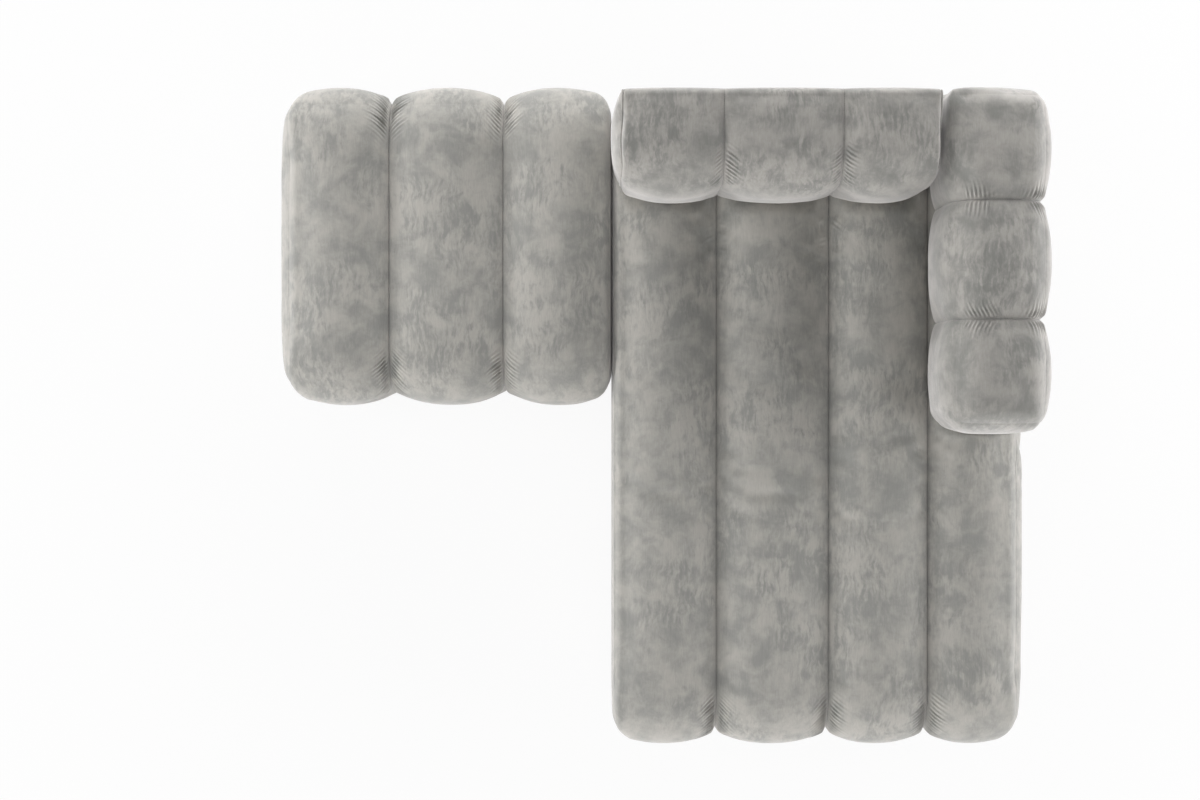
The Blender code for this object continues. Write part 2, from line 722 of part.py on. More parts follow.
def open_for_tongues(cover, foam, places, along_x):
    """Slots through a seat for tongues, and room in its foam for their sockets."""
    for x, y in places:
        for part, play, low in (
                (cover, SLOT_PLAY, CASE_TOP - CUT_PAST),
                (foam, SOCKET_PLAY + SOCKET_WALL + POCKET_FIT, FOAM_LOW - CUT_PAST)):
            half_long = TONGUE_WIDTH / 2 + play
            half_short = TONGUE_THICKNESS / 2 + play
            half_x, half_y = (half_long, half_short) if along_x else (half_short, half_long)
            low_corner = (x - half_x, y - half_y, low)
            high_corner = (x + half_x, y + half_y, SEAT_HEIGHT + CUT_PAST)
            combine(part, box_mesh(f"{part.name}_slot", low_corner, high_corner))


def add_sockets(seat, name, places, along_x):
    """Steel sleeves on a rail, each on its base plate, that the tongues slide into."""
    for number, (x, y) in enumerate(places, start=1):
        bore_long = TONGUE_WIDTH / 2 + SOCKET_PLAY
        bore_short = TONGUE_THICKNESS / 2 + SOCKET_PLAY
        sizes = [
            (bore_long + SOCKET_WALL, bore_short + SOCKET_WALL),
            (SOCKET_PLATE_LENGTH / 2, RAIL_THICKNESS / 2),
            (bore_long, bore_short),
        ]
        levels = [
            (RAIL_TOP + FIT, CASE_TOP - FIT),
            (RAIL_TOP + FIT, RAIL_TOP + FIT + SOCKET_PLATE),
            (RAIL_TOP + FIT + SOCKET_PLATE, CASE_TOP + CUT_PAST),
        ]
        part_name = f"{name}_socket_{number}"
        meshes = []
        for (half_x, half_y), (low, high) in zip(sizes, levels):
            if not along_x:
                half_x, half_y = half_y, half_x
            meshes.append(box_mesh(part_name, (x - half_x, y - half_y, low), (x + half_x, y + half_y, high)))
        socket = add_part(part_name, meshes[0], seat.empty, "zinc_steel")
        combine(socket, meshes[1], "UNION")
        combine(socket, meshes[2])


def add_forks(chaise, lines):
    """Slotted plates under the chaise's left rail, open towards the pouf."""
    level = DUST_LOW - FIT - PLATE / 2
    tip = -chaise.half_width - FORK_REACH
    root = -chaise.rail_x + RAIL_THICKNESS / 2
    peg = -chaise.half_width - PEG_INSET
    half = PLATE_WIDTH / 2
    slot = FORK_SLOT / 2
    outline = [(root, -half), (root, half), (tip, half), (tip, slot)]
    outline += arc((peg, 0.0), slot, 90, -90, TURN_STEPS // 2)
    outline += [(tip, -slot), (tip, -half)]
    for number, y in enumerate(lines, start=1):
        name = f"chaise_fork_{number}"
        plate(name, [outline], PLATE, chaise.empty, "zinc_steel", (0.0, y, level))


def add_peg_brackets(pouf, lines):
    """Stepped brackets under the pouf's right rail, each with the peg that sits in a fork."""
    top = DUST_LOW - FIT
    root = pouf.rail_x - RAIL_THICKNESS / 2
    step = pouf.rail_x + RAIL_THICKNESS / 2
    peg = pouf.half_width + MODULE_GAP - PEG_INSET
    tip = peg + PEG_TIP
    outline = [
        (root, top),
        (root, top - PLATE),
        (step, top - PLATE),
        (step + JOGGLE, top - PLATE - JOGGLE),
        (tip, top - PLATE - JOGGLE),
        (tip, top - JOGGLE),
        (step + JOGGLE, top - JOGGLE),
        (step, top),
    ]
    for number, y in enumerate(lines, start=1):
        name = f"pouf_peg_bracket_{number}"
        bracket = plate(name, [outline], PLATE_WIDTH, pouf.empty, "zinc_steel", (0.0, y, 0.0),
                        (math.pi / 2, 0.0, 0.0))
        bracket = welded_mesh(bracket)
        rod = rod_mesh(f"{name}_peg", (peg, y), PEG_RADIUS, top - JOGGLE - PEG_SINK, top - FIT)
        combine(bracket, rod, "UNION")


def welded_mesh(part):
    """Replace a curve part by the closed mesh that it makes, so that it can be joined or cut."""
    evaluated = part.evaluated_get(bpy.context.evaluated_depsgraph_get())
    mesh = bpy.data.meshes.new_from_object(evaluated)
    shape = bmesh.new()
    shape.from_mesh(mesh)
    bmesh.ops.remove_doubles(shape, verts=shape.verts, dist=WELD)
    shape.to_mesh(mesh)
    shape.free()
    name, parent, place = part.name, part.parent, part.matrix_world.copy()
    bpy.data.objects.remove(part)
    part = bpy.data.objects.new(name, mesh)
    PARTS.objects.link(part)
    part.parent = parent
    part.matrix_world = place
    return part


def build_seats(chaise, pouf, presses):
    """Frame, springs, padding and covers that both seats have. Returns the chaise's cover and foam."""
    chaise_feet = chaise.foot_places(3)
    pouf_feet = pouf.foot_places(2)
    for seat, feet, springs in ((chaise, chaise_feet, CHAISE_SPRINGS), (pouf, pouf_feet, POUF_SPRINGS)):
        seat.add_rails(feet)
        seat.add_feet(feet)
        seat.add_springs(springs)
        seat.add_felt()
        seat.add_dust_cover(feet)
    pouf.add_foam()
    pouf.add_cover((SEAT_BULGE, DOCK_BULGE))
    cover = chaise.add_cover((DOCK_BULGE, SEAT_BULGE), CHAISE_REAR_ROUND, presses)
    return cover, chaise.add_foam()


def add_inner_rails(chaise):
    """Rail under the seam beside the armrest, and the cross rail between it and the left rail."""
    reach_y = chaise.frame_y - RAIL_THICKNESS - FIT
    low_x = chaise.spring_right - RAIL_THICKNESS / 2
    low = (low_x, -reach_y, FRAME_LOW)
    timber("chaise_inner_rail", low, (low_x + RAIL_THICKNESS, reach_y, RAIL_TOP), chaise.empty)
    low = (FIT + RAIL_THICKNESS - chaise.frame_x, -RAIL_THICKNESS / 2, FRAME_LOW)
    high = (low_x - FIT, RAIL_THICKNESS / 2, FRAME_LOW + CROSS_RAIL_HEIGHT)
    timber("chaise_cross_rail", low, high, chaise.empty)


def main():
    for old in list(bpy.data.objects):
        bpy.data.objects.remove(old, do_unlink=True)
    for collection in (PARTS, CUTTERS):
        bpy.context.scene.collection.children.link(collection)

    pouf_width = sum(POUF_CHANNELS)
    chaise_width = sum(CHAISE_CHANNELS)
    behind_tongue = TONGUE_THICKNESS / 2 + FIT + BOARD + FIT
    side_rail = CASE_WALL + FIT + RAIL_THICKNESS / 2
    arm_overhang = max(0.0, behind_tongue + ARM_OUTER_WADDING - side_rail)
    left = -(pouf_width + MODULE_GAP + chaise_width + arm_overhang) / 2
    chaise_x = left + pouf_width + MODULE_GAP + chaise_width / 2
    pouf_y = (CHAISE_LENGTH - POUF_DEPTH) / 2
    chaise = SeatModule("chaise", CHAISE_CHANNELS, CHAISE_LENGTH, (chaise_x, 0.0, 0.0))
    pouf = SeatModule("pouf", POUF_CHANNELS, POUF_DEPTH, (left + pouf_width / 2, pouf_y, 0.0))
    arm_seam = chaise.seams[-1]
    chaise.spring_right = arm_seam

    arm_outer = chaise.rail_x + behind_tongue + ARM_OUTER_WADDING
    arm_inner = arm_outer - ARM_DEPTH
    back_rear = chaise.rail_y + behind_tongue + BACK_REAR_WADDING
    arm_length = sum(ARM_SEGMENTS)
    arm_y = back_rear - arm_length / 2
    back_left = BACK_SETBACK - chaise.half_width
    back_right = arm_inner - BOLSTER_GAP
    back_x = (back_left + back_right) / 2

    presses = [
        Press(-chaise.half_width, arm_seam, back_rear - BACK_DEPTH),
        Press(arm_seam, chaise.half_width, back_rear - arm_length),
    ]
    cover, foam = build_seats(chaise, pouf, presses)
    add_inner_rails(chaise)
    back_places = [(back_x + side * BACK_TONGUE_SPACING / 2, chaise.rail_y) for side in (-1, 1)]
    arm_places = [(chaise.rail_x, arm_y - side * ARM_TONGUE_SPACING / 2) for side in (-1, 1)]
    for name, places, along_x in (("back", back_places, True), ("arm", arm_places, False)):
        open_for_tongues(cover, foam, places, along_x)
        add_sockets(chaise, name, places, along_x)

    back_empty = add_empty("backrest", (chaise_x + back_x, back_rear - BACK_DEPTH / 2, BOLSTER_LOW))
    back = Bolster("back", back_right - back_left, BACK_DEPTH, BACK_HEIGHT, BACK_REAR_WADDING,
                   BACK_TONGUE_SPACING, back_empty)
    back.add_cover(
        [seam - back_x for seam in chaise.seams[:-1]], crown=BACK_CROWN, sinks=BACK_SINKS,
        bulges=BACK_BULGES, round_x=BACK_ROUND_X, round_y=BACK_ROUND_Y, round_z=BACK_ROUND_Z,
        rear_reach=BACK_REAR_REACH)
    back.add_inside()

    arm_place = (chaise_x + arm_outer - ARM_DEPTH / 2, arm_y, BOLSTER_LOW)
    arm = Bolster("arm", arm_length, ARM_DEPTH, ARM_HEIGHT, ARM_OUTER_WADDING, ARM_TONGUE_SPACING,
                  add_empty("armrest", arm_place, -math.pi / 2))
    arm.add_cover(
        seam_places(-arm_length / 2, ARM_SEGMENTS), crown=ARM_CROWN, sinks=ARM_SINKS,
        bulges=(ARM_BULGE,) * 4, round_x=(ARM_ROUND_X,) * 2, round_y=(ARM_ROUND_Y,) * 2,
        round_z=(ARM_ROUND_Z,) * 2, arch=ARM_ARCH)
    arm.add_inside()

    dock_lines = [pouf_y - pouf.half_depth + DOCK_INSET, pouf_y + pouf.half_depth - DOCK_INSET]
    add_forks(chaise, dock_lines)
    add_peg_brackets(pouf, [line - pouf_y for line in dock_lines])


main()
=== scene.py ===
# %% [markdown]
# # A modular chaise longue in grey velvet
#
# The lounge is a low chaise base with a plug-in backrest and armrest, and a pouf that hooks on to its
# left side. All four wear the same velvet, sewn into wide stuffed channels. The solids come packed
# from the CAD model. This lesson dresses them: it replaces each soft solid with sewn and stuffed
# fabric and gives the timber, steel and plastic under it their finishes.
#
# The frame is loaded first, because every piece takes its place from a CAD node.

# %% Load the imported frame
import math
from dataclasses import dataclass

import bmesh
import bpy
import numpy as np
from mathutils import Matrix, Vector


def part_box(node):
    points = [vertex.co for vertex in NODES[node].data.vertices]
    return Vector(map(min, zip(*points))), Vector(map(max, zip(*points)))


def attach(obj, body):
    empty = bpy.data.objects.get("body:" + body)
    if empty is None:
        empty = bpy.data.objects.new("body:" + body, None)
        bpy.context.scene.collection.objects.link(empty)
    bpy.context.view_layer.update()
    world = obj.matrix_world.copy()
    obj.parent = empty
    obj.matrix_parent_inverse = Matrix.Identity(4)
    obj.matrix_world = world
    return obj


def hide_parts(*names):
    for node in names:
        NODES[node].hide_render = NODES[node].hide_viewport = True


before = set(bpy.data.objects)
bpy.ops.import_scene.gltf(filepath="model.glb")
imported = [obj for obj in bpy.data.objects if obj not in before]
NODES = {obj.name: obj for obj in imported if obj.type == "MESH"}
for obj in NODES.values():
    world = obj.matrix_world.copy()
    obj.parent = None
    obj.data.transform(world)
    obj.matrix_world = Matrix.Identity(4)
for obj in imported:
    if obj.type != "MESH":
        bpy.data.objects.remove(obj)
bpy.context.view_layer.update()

# %% [markdown]
# ## Tools for finishes
#
# Colours are written as sRGB hex values, the way a swatch book gives them, while a shader wants linear
# light, so one function converts them. Node trees could be drawn by hand in the editor. In a script
# one small function that adds a node, sets it and links it keeps every tree readable from top to
# bottom, and it serves shader trees and geometry trees alike.


# %% Colour and node helpers
def linear(hex_colour):
    """Linear RGBA of an sRGB hex colour."""
    channels = []
    for start in (1, 3, 5):
        value = int(hex_colour[start:start + 2], 16) / 255
        channels.append(value / 12.92 if value <= 0.04045 else ((value + 0.055) / 1.055) ** 2.4)
    return (*channels, 1.0)


def add_node(tree, kind, inputs=None, **settings):
    """Add a node with its settings. An input is a value, or the output that it is linked to."""
    node = tree.nodes.new(kind)
    for name, value in settings.items():
        setattr(node, name, value)
    for key, value in (inputs or {}).items():
        if isinstance(value, bpy.types.NodeSocket):
            tree.links.new(value, node.inputs[key])
        else:
            node.inputs[key].default_value = value
    return node


def new_finish(name, sockets):
    """Material with a Principled shader whose constant sockets are set. Returns it, its tree and shader."""
    material = bpy.data.materials.new(name)
    material.use_nodes = True
    shader = material.node_tree.nodes["Principled BSDF"]
    for socket, value in sockets.items():
        shader.inputs[socket].default_value = value
    return material, material.node_tree, shader


# On a colour Mix node the colours are inputs 6 and 7, and the mixed colour is output 2
FIRST_COLOUR, SECOND_COLOUR, MIXED_COLOUR = 6, 7, 2
print("velvet grey in linear light:", [round(value, 3) for value in linear("#989692")])

# %% [markdown]
# ## Velvet
#
# Velvet is a woven ground with a dense short pile. Seen along the pile it is darker, seen against it
# paler, so a hand that strokes it leaves feathery marks. A photograph of cloth could be tiled over the
# covers, but it would repeat and it would not survive a change of scale. Instead, warped noise mixes a
# shaded and a lifted grey at the size of a palm, finger strokes in two directions break its edges, short
# dashes and a faint cross-hatch follow the weave, and a fine grain stands for the pile. The sheen of the
# shader gives the pale edge where the pile is seen from the side.


# %% Velvet with a stroked pile
def stroke_noise(tree, place, turn, width, length, distortion=0.3):
    """Noise drawn out into strokes of a width and a length, turned about the vertical."""
    laid = add_node(tree, "ShaderNodeMapping", {
        "Vector": place, "Rotation": (0.0, 0.0, turn), "Scale": (1.0, width / length, 0.6)})
    return add_node(tree, "ShaderNodeTexNoise", {
        "Vector": laid.outputs[0], "Scale": 1 / width, "Detail": 4.0, "Roughness": 0.62,
        "Distortion": distortion}).outputs["Fac"]


def make_velvet(name, shaded, lifted, parted_shade, sheen):
    """Short-pile cotton velvet, woven and brushed: soft marks of the hand, pale at grazing angles."""
    material, tree, shader = new_finish(name, {
        "Roughness": 0.92, "Specular IOR Level": 0.25, "Sheen Weight": sheen, "Sheen Roughness": 0.50,
        "Sheen Tint": linear("#FBF8F8")})
    place = add_node(tree, "ShaderNodeTexCoord").outputs["Object"]
    bend = add_node(tree, "ShaderNodeTexNoise", {"Vector": place, "Scale": 1 / 0.110, "Detail": 4.0})
    lean = add_node(tree, "ShaderNodeVectorMath", {0: bend.outputs["Color"], 1: (0.5, 0.5, 0.5)},
                    operation="SUBTRACT")
    warped = add_node(tree, "ShaderNodeVectorMath", {0: lean.outputs[0], 1: (0.05,) * 3, 2: place},
                      operation="MULTIPLY_ADD").outputs[0]
    # Palm-sized marks, about 75 mm, and finger strokes, about 12 mm wide and 46 mm long, in two directions
    palms = add_node(tree, "ShaderNodeTexNoise", {
        "Vector": warped, "Scale": 1 / 0.075, "Detail": 6.0, "Roughness": 0.60, "Distortion": 0.2})
    side = add_node(tree, "ShaderNodeMapRange", {
        "Value": bend.outputs["Fac"], "From Min": 0.44, "From Max": 0.56})
    strokes = add_node(tree, "ShaderNodeMix", {
        "Factor": side.outputs[0], 2: stroke_noise(tree, warped, 0.85, 0.012, 0.046),
        3: stroke_noise(tree, warped, -0.65, 0.012, 0.046)})
    # Strokes come in clusters, about 160 mm across
    busy = add_node(tree, "ShaderNodeTexNoise", {"Vector": place, "Scale": 1 / 0.160, "Detail": 2.0})
    busy = add_node(tree, "ShaderNodeMapRange", {
        "Value": busy.outputs["Fac"], "From Min": 0.42, "From Max": 0.62, "To Min": 0.12, "To Max": 1.05})
    feathers = add_node(tree, "ShaderNodeMath", {0: strokes.outputs[0], 1: 0.5}, operation="SUBTRACT")
    marks = add_node(tree, "ShaderNodeMath", {
        0: feathers.outputs[0], 1: busy.outputs[0], 2: palms.outputs["Fac"]}, operation="MULTIPLY_ADD")
    lie = add_node(tree, "ShaderNodeMapRange", {
        "Value": marks.outputs[0], "From Min": 0.31, "From Max": 0.69}, interpolation_type="SMOOTHSTEP")
    grey = add_node(tree, "ShaderNodeMix", {
        "Factor": lie.outputs["Result"], FIRST_COLOUR: linear(shaded), SECOND_COLOUR: linear(lifted)},
        data_type="RGBA")
    # Dashes where the pile parted, 4 mm by 18 mm, and the weave's cross-hatch, drawn at 3 mm to show
    parted = add_node(tree, "ShaderNodeMapRange", {
        "Value": stroke_noise(tree, place, 0.08, 0.004, 0.018), "From Min": 0.63, "From Max": 0.80,
        "To Max": 0.45})
    dashed = add_node(tree, "ShaderNodeMix", {
        "Factor": parted.outputs[0], FIRST_COLOUR: grey.outputs[MIXED_COLOUR],
        SECOND_COLOUR: linear(parted_shade)}, data_type="RGBA")
    hatch = add_node(tree, "ShaderNodeMath", {
        0: stroke_noise(tree, place, 0.0, 0.003, 0.025, 0.0),
        1: stroke_noise(tree, place, math.pi / 2, 0.003, 0.025, 0.0)}, operation="ADD")
    hatch = add_node(tree, "ShaderNodeMapRange", {
        "Value": hatch.outputs[0], "From Min": 0.80, "From Max": 1.20, "To Min": 0.95, "To Max": 1.05})
    colour = add_node(tree, "ShaderNodeVectorMath", {
        0: dashed.outputs[MIXED_COLOUR], "Scale": hatch.outputs[0]}, operation="SCALE")
    tree.links.new(colour.outputs[0], shader.inputs["Base Color"])
    # The pile is drawn at 1.4 mm, coarser than the real 0.3 mm, so that it shows at all
    pile = add_node(tree, "ShaderNodeTexNoise", {"Vector": place, "Scale": 1 / 0.0014, "Detail": 2.0})
    grain = add_node(tree, "ShaderNodeBump", {
        "Height": pile.outputs["Fac"], "Strength": 0.25, "Distance": 0.0006})
    brushed = add_node(tree, "ShaderNodeBump", {
        "Height": marks.outputs[0], "Strength": 0.25, "Distance": 0.005, "Normal": grain.outputs[0]})
    tree.links.new(brushed.outputs[0], shader.inputs["Normal"])
    return material


# The bolsters' velvet is a darker copy of the seats' velvet, with the pile taken as lying the other way: its
# darker base colour is painted shade that makes their tops darker from above, and its stronger sheen makes
# their edges paler
VELVET = make_velvet("brushed_grey_velvet", "#90908C", "#AFACA6", "#7A7A75", 0.5)
BOLSTER_VELVET_PAINTED_SHADE = make_velvet("brushed_grey_velvet_turned", "#80807C", "#A3A09B", "#6C6C68", 0.8)
print("made", VELVET.name, "with", len(VELVET.node_tree.nodes), "nodes")

# %% [markdown]
# ## The form of a stuffed cover
#
# Each cover is a box of fabric sewn through along its seams and stuffed, so every channel is a long
# pillow: crowned on top, round at its ends, pinched to a crease where it is sewn. It could be sculpted,
# or blown up from a box by simulation alone, but then the seams would lose their places. Here a rule
# moves each point of a plain core box to the stuffed form: round the edges, swell the channels, sink
# the seams. A simulation then adds the uneven part, and the gathers are laid on last.

# %% Sizes of the quilting, in metres
HEM_EDGE = 0.012               # rounding of a cover's lower edge
FULL_TOP, FULL_END = 2.8, 2.1  # fullness of a channel: higher is flatter, with a tighter fold at the seam
END_SPREAD = 0.180             # how far from an end the crease starts to open
END_SHARE = 0.55               # how far it is open where the end begins to fall
PRESS_RUN = 0.050              # length over which the seat rises again in front of a bolster
SQUARE = 4.0                   # how square the covers' corners are in plan before they are rounded
NO_ZERO = 1e-9                 # keeps a division safe


def smooth(value):
    """Ease from 0 to 1."""
    value = np.clip(value, 0.0, 1.0)
    return value * value * (3.0 - 2.0 * value)


def between(pair, share):
    """Value between the two of a pair."""
    return pair[0] + (pair[1] - pair[0]) * share


@dataclass
class Quilt:
    """Stuffed form of one cover, channels side by side along its own X, bottom at its own zero."""

    low: np.ndarray            # corners in the lounge's frame
    high: np.ndarray
    widths: tuple              # of the channels
    turned: bool = False       # the armrest's channels run across the lounge
    crown: float = 0.026       # swell of the top across a channel
    arch: float = 0.0          # swell of the top from front to rear
    sinks: tuple = (0.018, 0.036)          # of a seam, on top and at the ends
    pinches: tuple = (0.010, 0.010)        # of the ends at the outer left and right edge
    rear_reach: float = 1.0    # share of the sink that is left at the rear edge
    bulges: tuple = (0.012, 0.012, 0.012, 0.012)   # of the left, right, front and rear
    proud: tuple = (0.0, 0.0, 0.0, 0.0)    # how far they stand out of the solid's box
    round_x: tuple = (0.036, 0.036)        # rounding of the left and the right, inwards
    round_y: tuple = (0.160, 0.160)        # rounding of the front and the rear, inwards
    round_z: tuple = (0.090, 0.090)        # the same, downwards
    corners: tuple = ((0.055, 0.070),) * 4         # rounding in plan, left and right front, then rear
    presses: tuple = ()        # (low x, high x, front y, level) where a bolster stands on it
    held: tuple = ()           # (axis, end, start, stop) of the walls that lean on a neighbour
    snug: tuple = ()           # (x, run, share): up to that x a neighbour squares the front edge to a share

    def __post_init__(self):
        size = self.high - self.low
        self.middle = (self.high + self.low) / 2 * (1, 1, 0) + self.low * (0, 0, 1)
        half = np.array([size[1], size[0]] if self.turned else [size[0], size[1]]) / 2
        left, right, front, rear = self.bulges
        self.core_low = np.array([left - half[0] - self.proud[0], front - half[1] - self.proud[2], 0.0])
        self.core_high = np.array([half[0] - right + self.proud[1], half[1] - rear + self.proud[3],
                                   size[2] - self.crown - self.arch])
        self.seams = -half[0] + np.cumsum(self.widths)[:-1]

    def to_lounge(self, points):
        """From the cover's own frame to the lounge's."""
        if self.turned:
            points = points[:, [1, 0, 2]] * (1, -1, 1)
        return points + self.middle

    def rounded(self, points):
        """Points on the box with its edges rounded, and the way they face."""
        low, high = self.core_low, self.core_high
        even = np.ones(len(points))
        run = high[1] - low[1] - sum(self.round_y)
        squeeze = even
        if self.snug:
            squeeze = even - (1.0 - self.snug[2]) * smooth((self.snug[0] - points[:, 0]) / self.snug[1])
        fall = between((self.round_z[0] * squeeze, self.round_z[1]),
                       smooth((points[:, 1] - low[1] - self.round_y[0]) / run))
        first = np.stack([self.round_x[0] * even, self.round_y[0] * squeeze, HEM_EDGE * even], axis=1)
        last = np.stack([self.round_x[1] * even, self.round_y[1] * even, fall], axis=1)
        core = np.clip(points, low + first, high - last)
        radius = np.where(points < low + first, first, last)
        share = (points - core) / radius
        tuck = np.clip(-share[:, 2], 0.0, 1.0) * math.pi / 2
        share[:, 2] = np.maximum(share[:, 2], 0.0)
        flat = np.sum(np.abs(share[:, :2]) ** SQUARE, axis=1) ** (1 / SQUARE)
        normal = share / np.maximum(np.hypot(flat, share[:, 2]), NO_ZERO)[:, None]
        place = core + normal * radius
        place[:, :2] -= normal[:, :2] * (HEM_EDGE * (1.0 - np.cos(tuck)))[:, None]
        place[:, 2] = np.where(tuck > 0, low[2] + HEM_EDGE * (1.0 - np.sin(tuck)), place[:, 2])
        normal /= np.maximum(np.linalg.norm(normal, axis=1), NO_ZERO)[:, None]
        # Each corner of the plan is a square that is drawn in to a quarter ellipse
        for corner, (reach_x, reach_y) in enumerate(self.corners):
            to_x = (place[:, 0] - low[0]) if corner % 2 == 0 else (high[0] - place[:, 0])
            to_y = (place[:, 1] - low[1]) if corner < 2 else (high[1] - place[:, 1])
            one, two = np.maximum(1.0 - to_x / reach_x, 0.0), np.maximum(1.0 - to_y / reach_y, 0.0)
            side_x, side_y = (1 if corner % 2 == 0 else -1), (1 if corner < 2 else -1)
            place[:, 0] += side_x * reach_x * one * (1.0 - np.sqrt(1.0 - two ** 2 / 2))
            place[:, 1] += side_y * reach_y * two * (1.0 - np.sqrt(1.0 - one ** 2 / 2))
        return place, normal

    def stuff(self, points):
        """Move points of the core box to the stuffed form."""
        low, high = self.core_low, self.core_high
        half, centre = (high - low) / 2, (high + low) / 2
        x, y = points[:, 0], points[:, 1]
        place, normal = self.rounded(points)
        # Across the channel from -1 to 1, without the seam on the outer sides of the end channels
        bounds = np.concatenate([[low[0]], self.seams, [high[0]]])
        channel = np.searchsorted(self.seams, x)
        across = (2 * x - bounds[channel] - bounds[channel + 1]) / (bounds[channel + 1] - bounds[channel])
        outer = ((channel == 0) & (across < 0)) | ((channel == len(self.seams)) & (across > 0))
        to_seam = np.where(outer, 0.0, np.abs(across))
        swell = (1.0 - across ** 2) ** np.where(outer, 2.0, 1.0)
        up, out = normal[:, 2], np.abs(normal[:, 1])
        ends = out ** 2 / (out ** 2 + up ** 2 + NO_ZERO)
        to_end = np.minimum(y - low[1], (high[1] - y) / self.rear_reach)
        ends = np.maximum(ends, END_SHARE * smooth(1.0 - to_end / END_SPREAD))
        full = between((FULL_TOP, FULL_END), ends)
        to_rear = between((self.rear_reach, 1.0), smooth((high[1] - y) / half[1]))
        sink = between(self.sinks, ends) * to_rear
        sink = sink * (1.0 - (1.0 - to_seam ** full) ** (1.0 / full))
        pinch = np.where(x < centre[0], *self.pinches) * (1.0 - np.sqrt(1.0 - across ** 2)) * outer
        pinch = pinch * to_rear
        span = 1.0 - ((points - centre) / half) ** 4
        arch = (1.0 - ((y - centre[1]) / half[1]) ** 2) ** 2
        side_bulge = np.where(normal[:, 0] < 0, self.bulges[0], self.bulges[1])
        end_bulge = np.where(normal[:, 1] < 0, self.bulges[2], self.bulges[3])
        place[:, 0] += normal[:, 0] * side_bulge * span[:, 1] * span[:, 2]
        place[:, 1] += normal[:, 1] * (end_bulge * swell * span[:, 2] - sink - pinch)
        place[:, 2] += up * (self.crown * swell + self.arch * arch - sink)
        for first_x, last_x, front, level in self.presses:
            under = (x > first_x) & (x < last_x)
            rise = smooth((y - front + PRESS_RUN) / PRESS_RUN) * under
            place[:, 2] -= rise * np.maximum(0.0, place[:, 2] - level)
        return place


print("a seat seam lies", round((Quilt.crown + Quilt.sinks[0]) * 1000), "mm under the crown of its channel")

# %% [markdown]
# ## The four covers' sizes
#
# The outer size of each cover is the box of its CAD node, so nothing has to be measured twice. The
# channel widths, edges and swells repeat the values that the solids were built from. The backrest has a
# crisp boxed rear edge and big soft front corners. The armrest is round on both sides. Where two covers
# lean on each other their walls are nearly flat.


# %% Quilts from the CAD boxes
def corners_of(node):
    """Lowest and highest corner of a CAD node as arrays."""
    return tuple(np.array(corner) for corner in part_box(node))


CHAISE_CHANNELS = (0.289, 0.311, 0.275, 0.265)
POUF_CHANNELS = (0.302, 0.316, 0.302)
ARM_SEGMENTS = (0.288, 0.311, 0.293)           # rear to front
PRESS_INSET = 0.030            # the seat is pressed flat this far behind a bolster's front
BACK_SETBACK = 0.002           # backrest's left end, in from the seat's left side
CLEAR = 0.0003                 # a hair's gap, so that two faces never share a plane
FAR = 9.0                      # past any wall

chaise_low, chaise_high = corners_of("chaise_cover")
back_low, back_high = corners_of("back_cover")
arm_low, arm_high = corners_of("arm_cover")
chaise_middle = (chaise_low + chaise_high) / 2
arm_side = arm_low[0] - chaise_middle[0]
pressed = back_low[2] - CLEAR - chaise_low[2]
back_front = back_low[1] - chaise_middle[1] + PRESS_INSET
arm_front = arm_low[1] - chaise_middle[1] + PRESS_INSET
back_widths = (CHAISE_CHANNELS[0] - BACK_SETBACK, CHAISE_CHANNELS[1])
beside_back = (arm_low[1] + arm_high[1]) / 2 - back_low[1]
DOCKED = 0.020                 # rounding of the walls between the pouf and the chaise
QUILTS = {
    "chaise": Quilt(
        chaise_low, chaise_high, CHAISE_CHANNELS, bulges=(0.0006, 0.012, 0.012, 0.012),
        proud=(0.0, 0.006, 0.010, 0.0), round_x=(DOCKED, 0.036), round_y=(0.160, 0.060),
        held=((0, 0, -FAR, FAR),),
        presses=((-FAR, arm_side, back_front, pressed), (arm_side, FAR, arm_front, pressed))),
    "pouf": Quilt(
        *corners_of("pouf_cover"), POUF_CHANNELS, bulges=(0.012, 0.0006, 0.012, 0.012),
        proud=(0.003, 0.0, -0.006, 0.008), round_x=(0.036, DOCKED), held=((0, 1, -FAR, FAR),),
        corners=((0.060, 0.075), (0.045, 0.060), (0.060, 0.075), (0.045, 0.060))),
    "back": Quilt(
        back_low, back_high, (*back_widths, back_high[0] - back_low[0] - sum(back_widths)),
        crown=0.012, sinks=(0.014, 0.016), rear_reach=0.12, bulges=(0.020, 0.006, 0.012, 0.002),
        proud=(0.0, 0.0, 0.0, 0.003), round_x=(0.014, 0.014), round_y=(0.140, 0.022),
        round_z=(0.120, 0.022), held=((0, 1, -FAR, FAR), (1, 1, -FAR, FAR)), pinches=(0.026, 0.032),
        corners=((0.020, 0.024), (0.020, 0.030), (0.010, 0.010), (0.010, 0.010))),
    "arm": Quilt(
        arm_low, arm_high, ARM_SEGMENTS, turned=True, crown=0.014, arch=0.016, sinks=(0.014, 0.018),
        bulges=(0.010, 0.010, 0.010, 0.014), proud=(0.011, 0.002, 0.0, 0.012),
        round_x=(0.050, 0.050), round_y=(0.085, 0.058), round_z=(0.095, 0.085),
        held=((1, 0, -FAR, beside_back),), snug=(beside_back - 0.030, 0.110, 0.30),
        pinches=(0.004, 0.008), corners=((0.020, 0.016), *((0.050, 0.034),) * 3)),
}
BODIES = {"chaise": "chaise", "pouf": "pouf", "back": "backrest", "arm": "armrest"}
for name, quilt in QUILTS.items():
    print(name, "cover", np.round((quilt.high - quilt.low) * 1000), "mm, seams", np.round(quilt.seams, 3))

# %% [markdown]
# ## A grid over the core box
#
# The rule needs points to move. A subdivided cube would spend most of them on flat fabric. Stations along
# each axis are placed by a wished spacing instead: one or two millimetres beside a seam and near the
# gathered ends, a centimetre or more where nothing happens. The grids of the five upper sides share
# their edge points, which are merged by place.


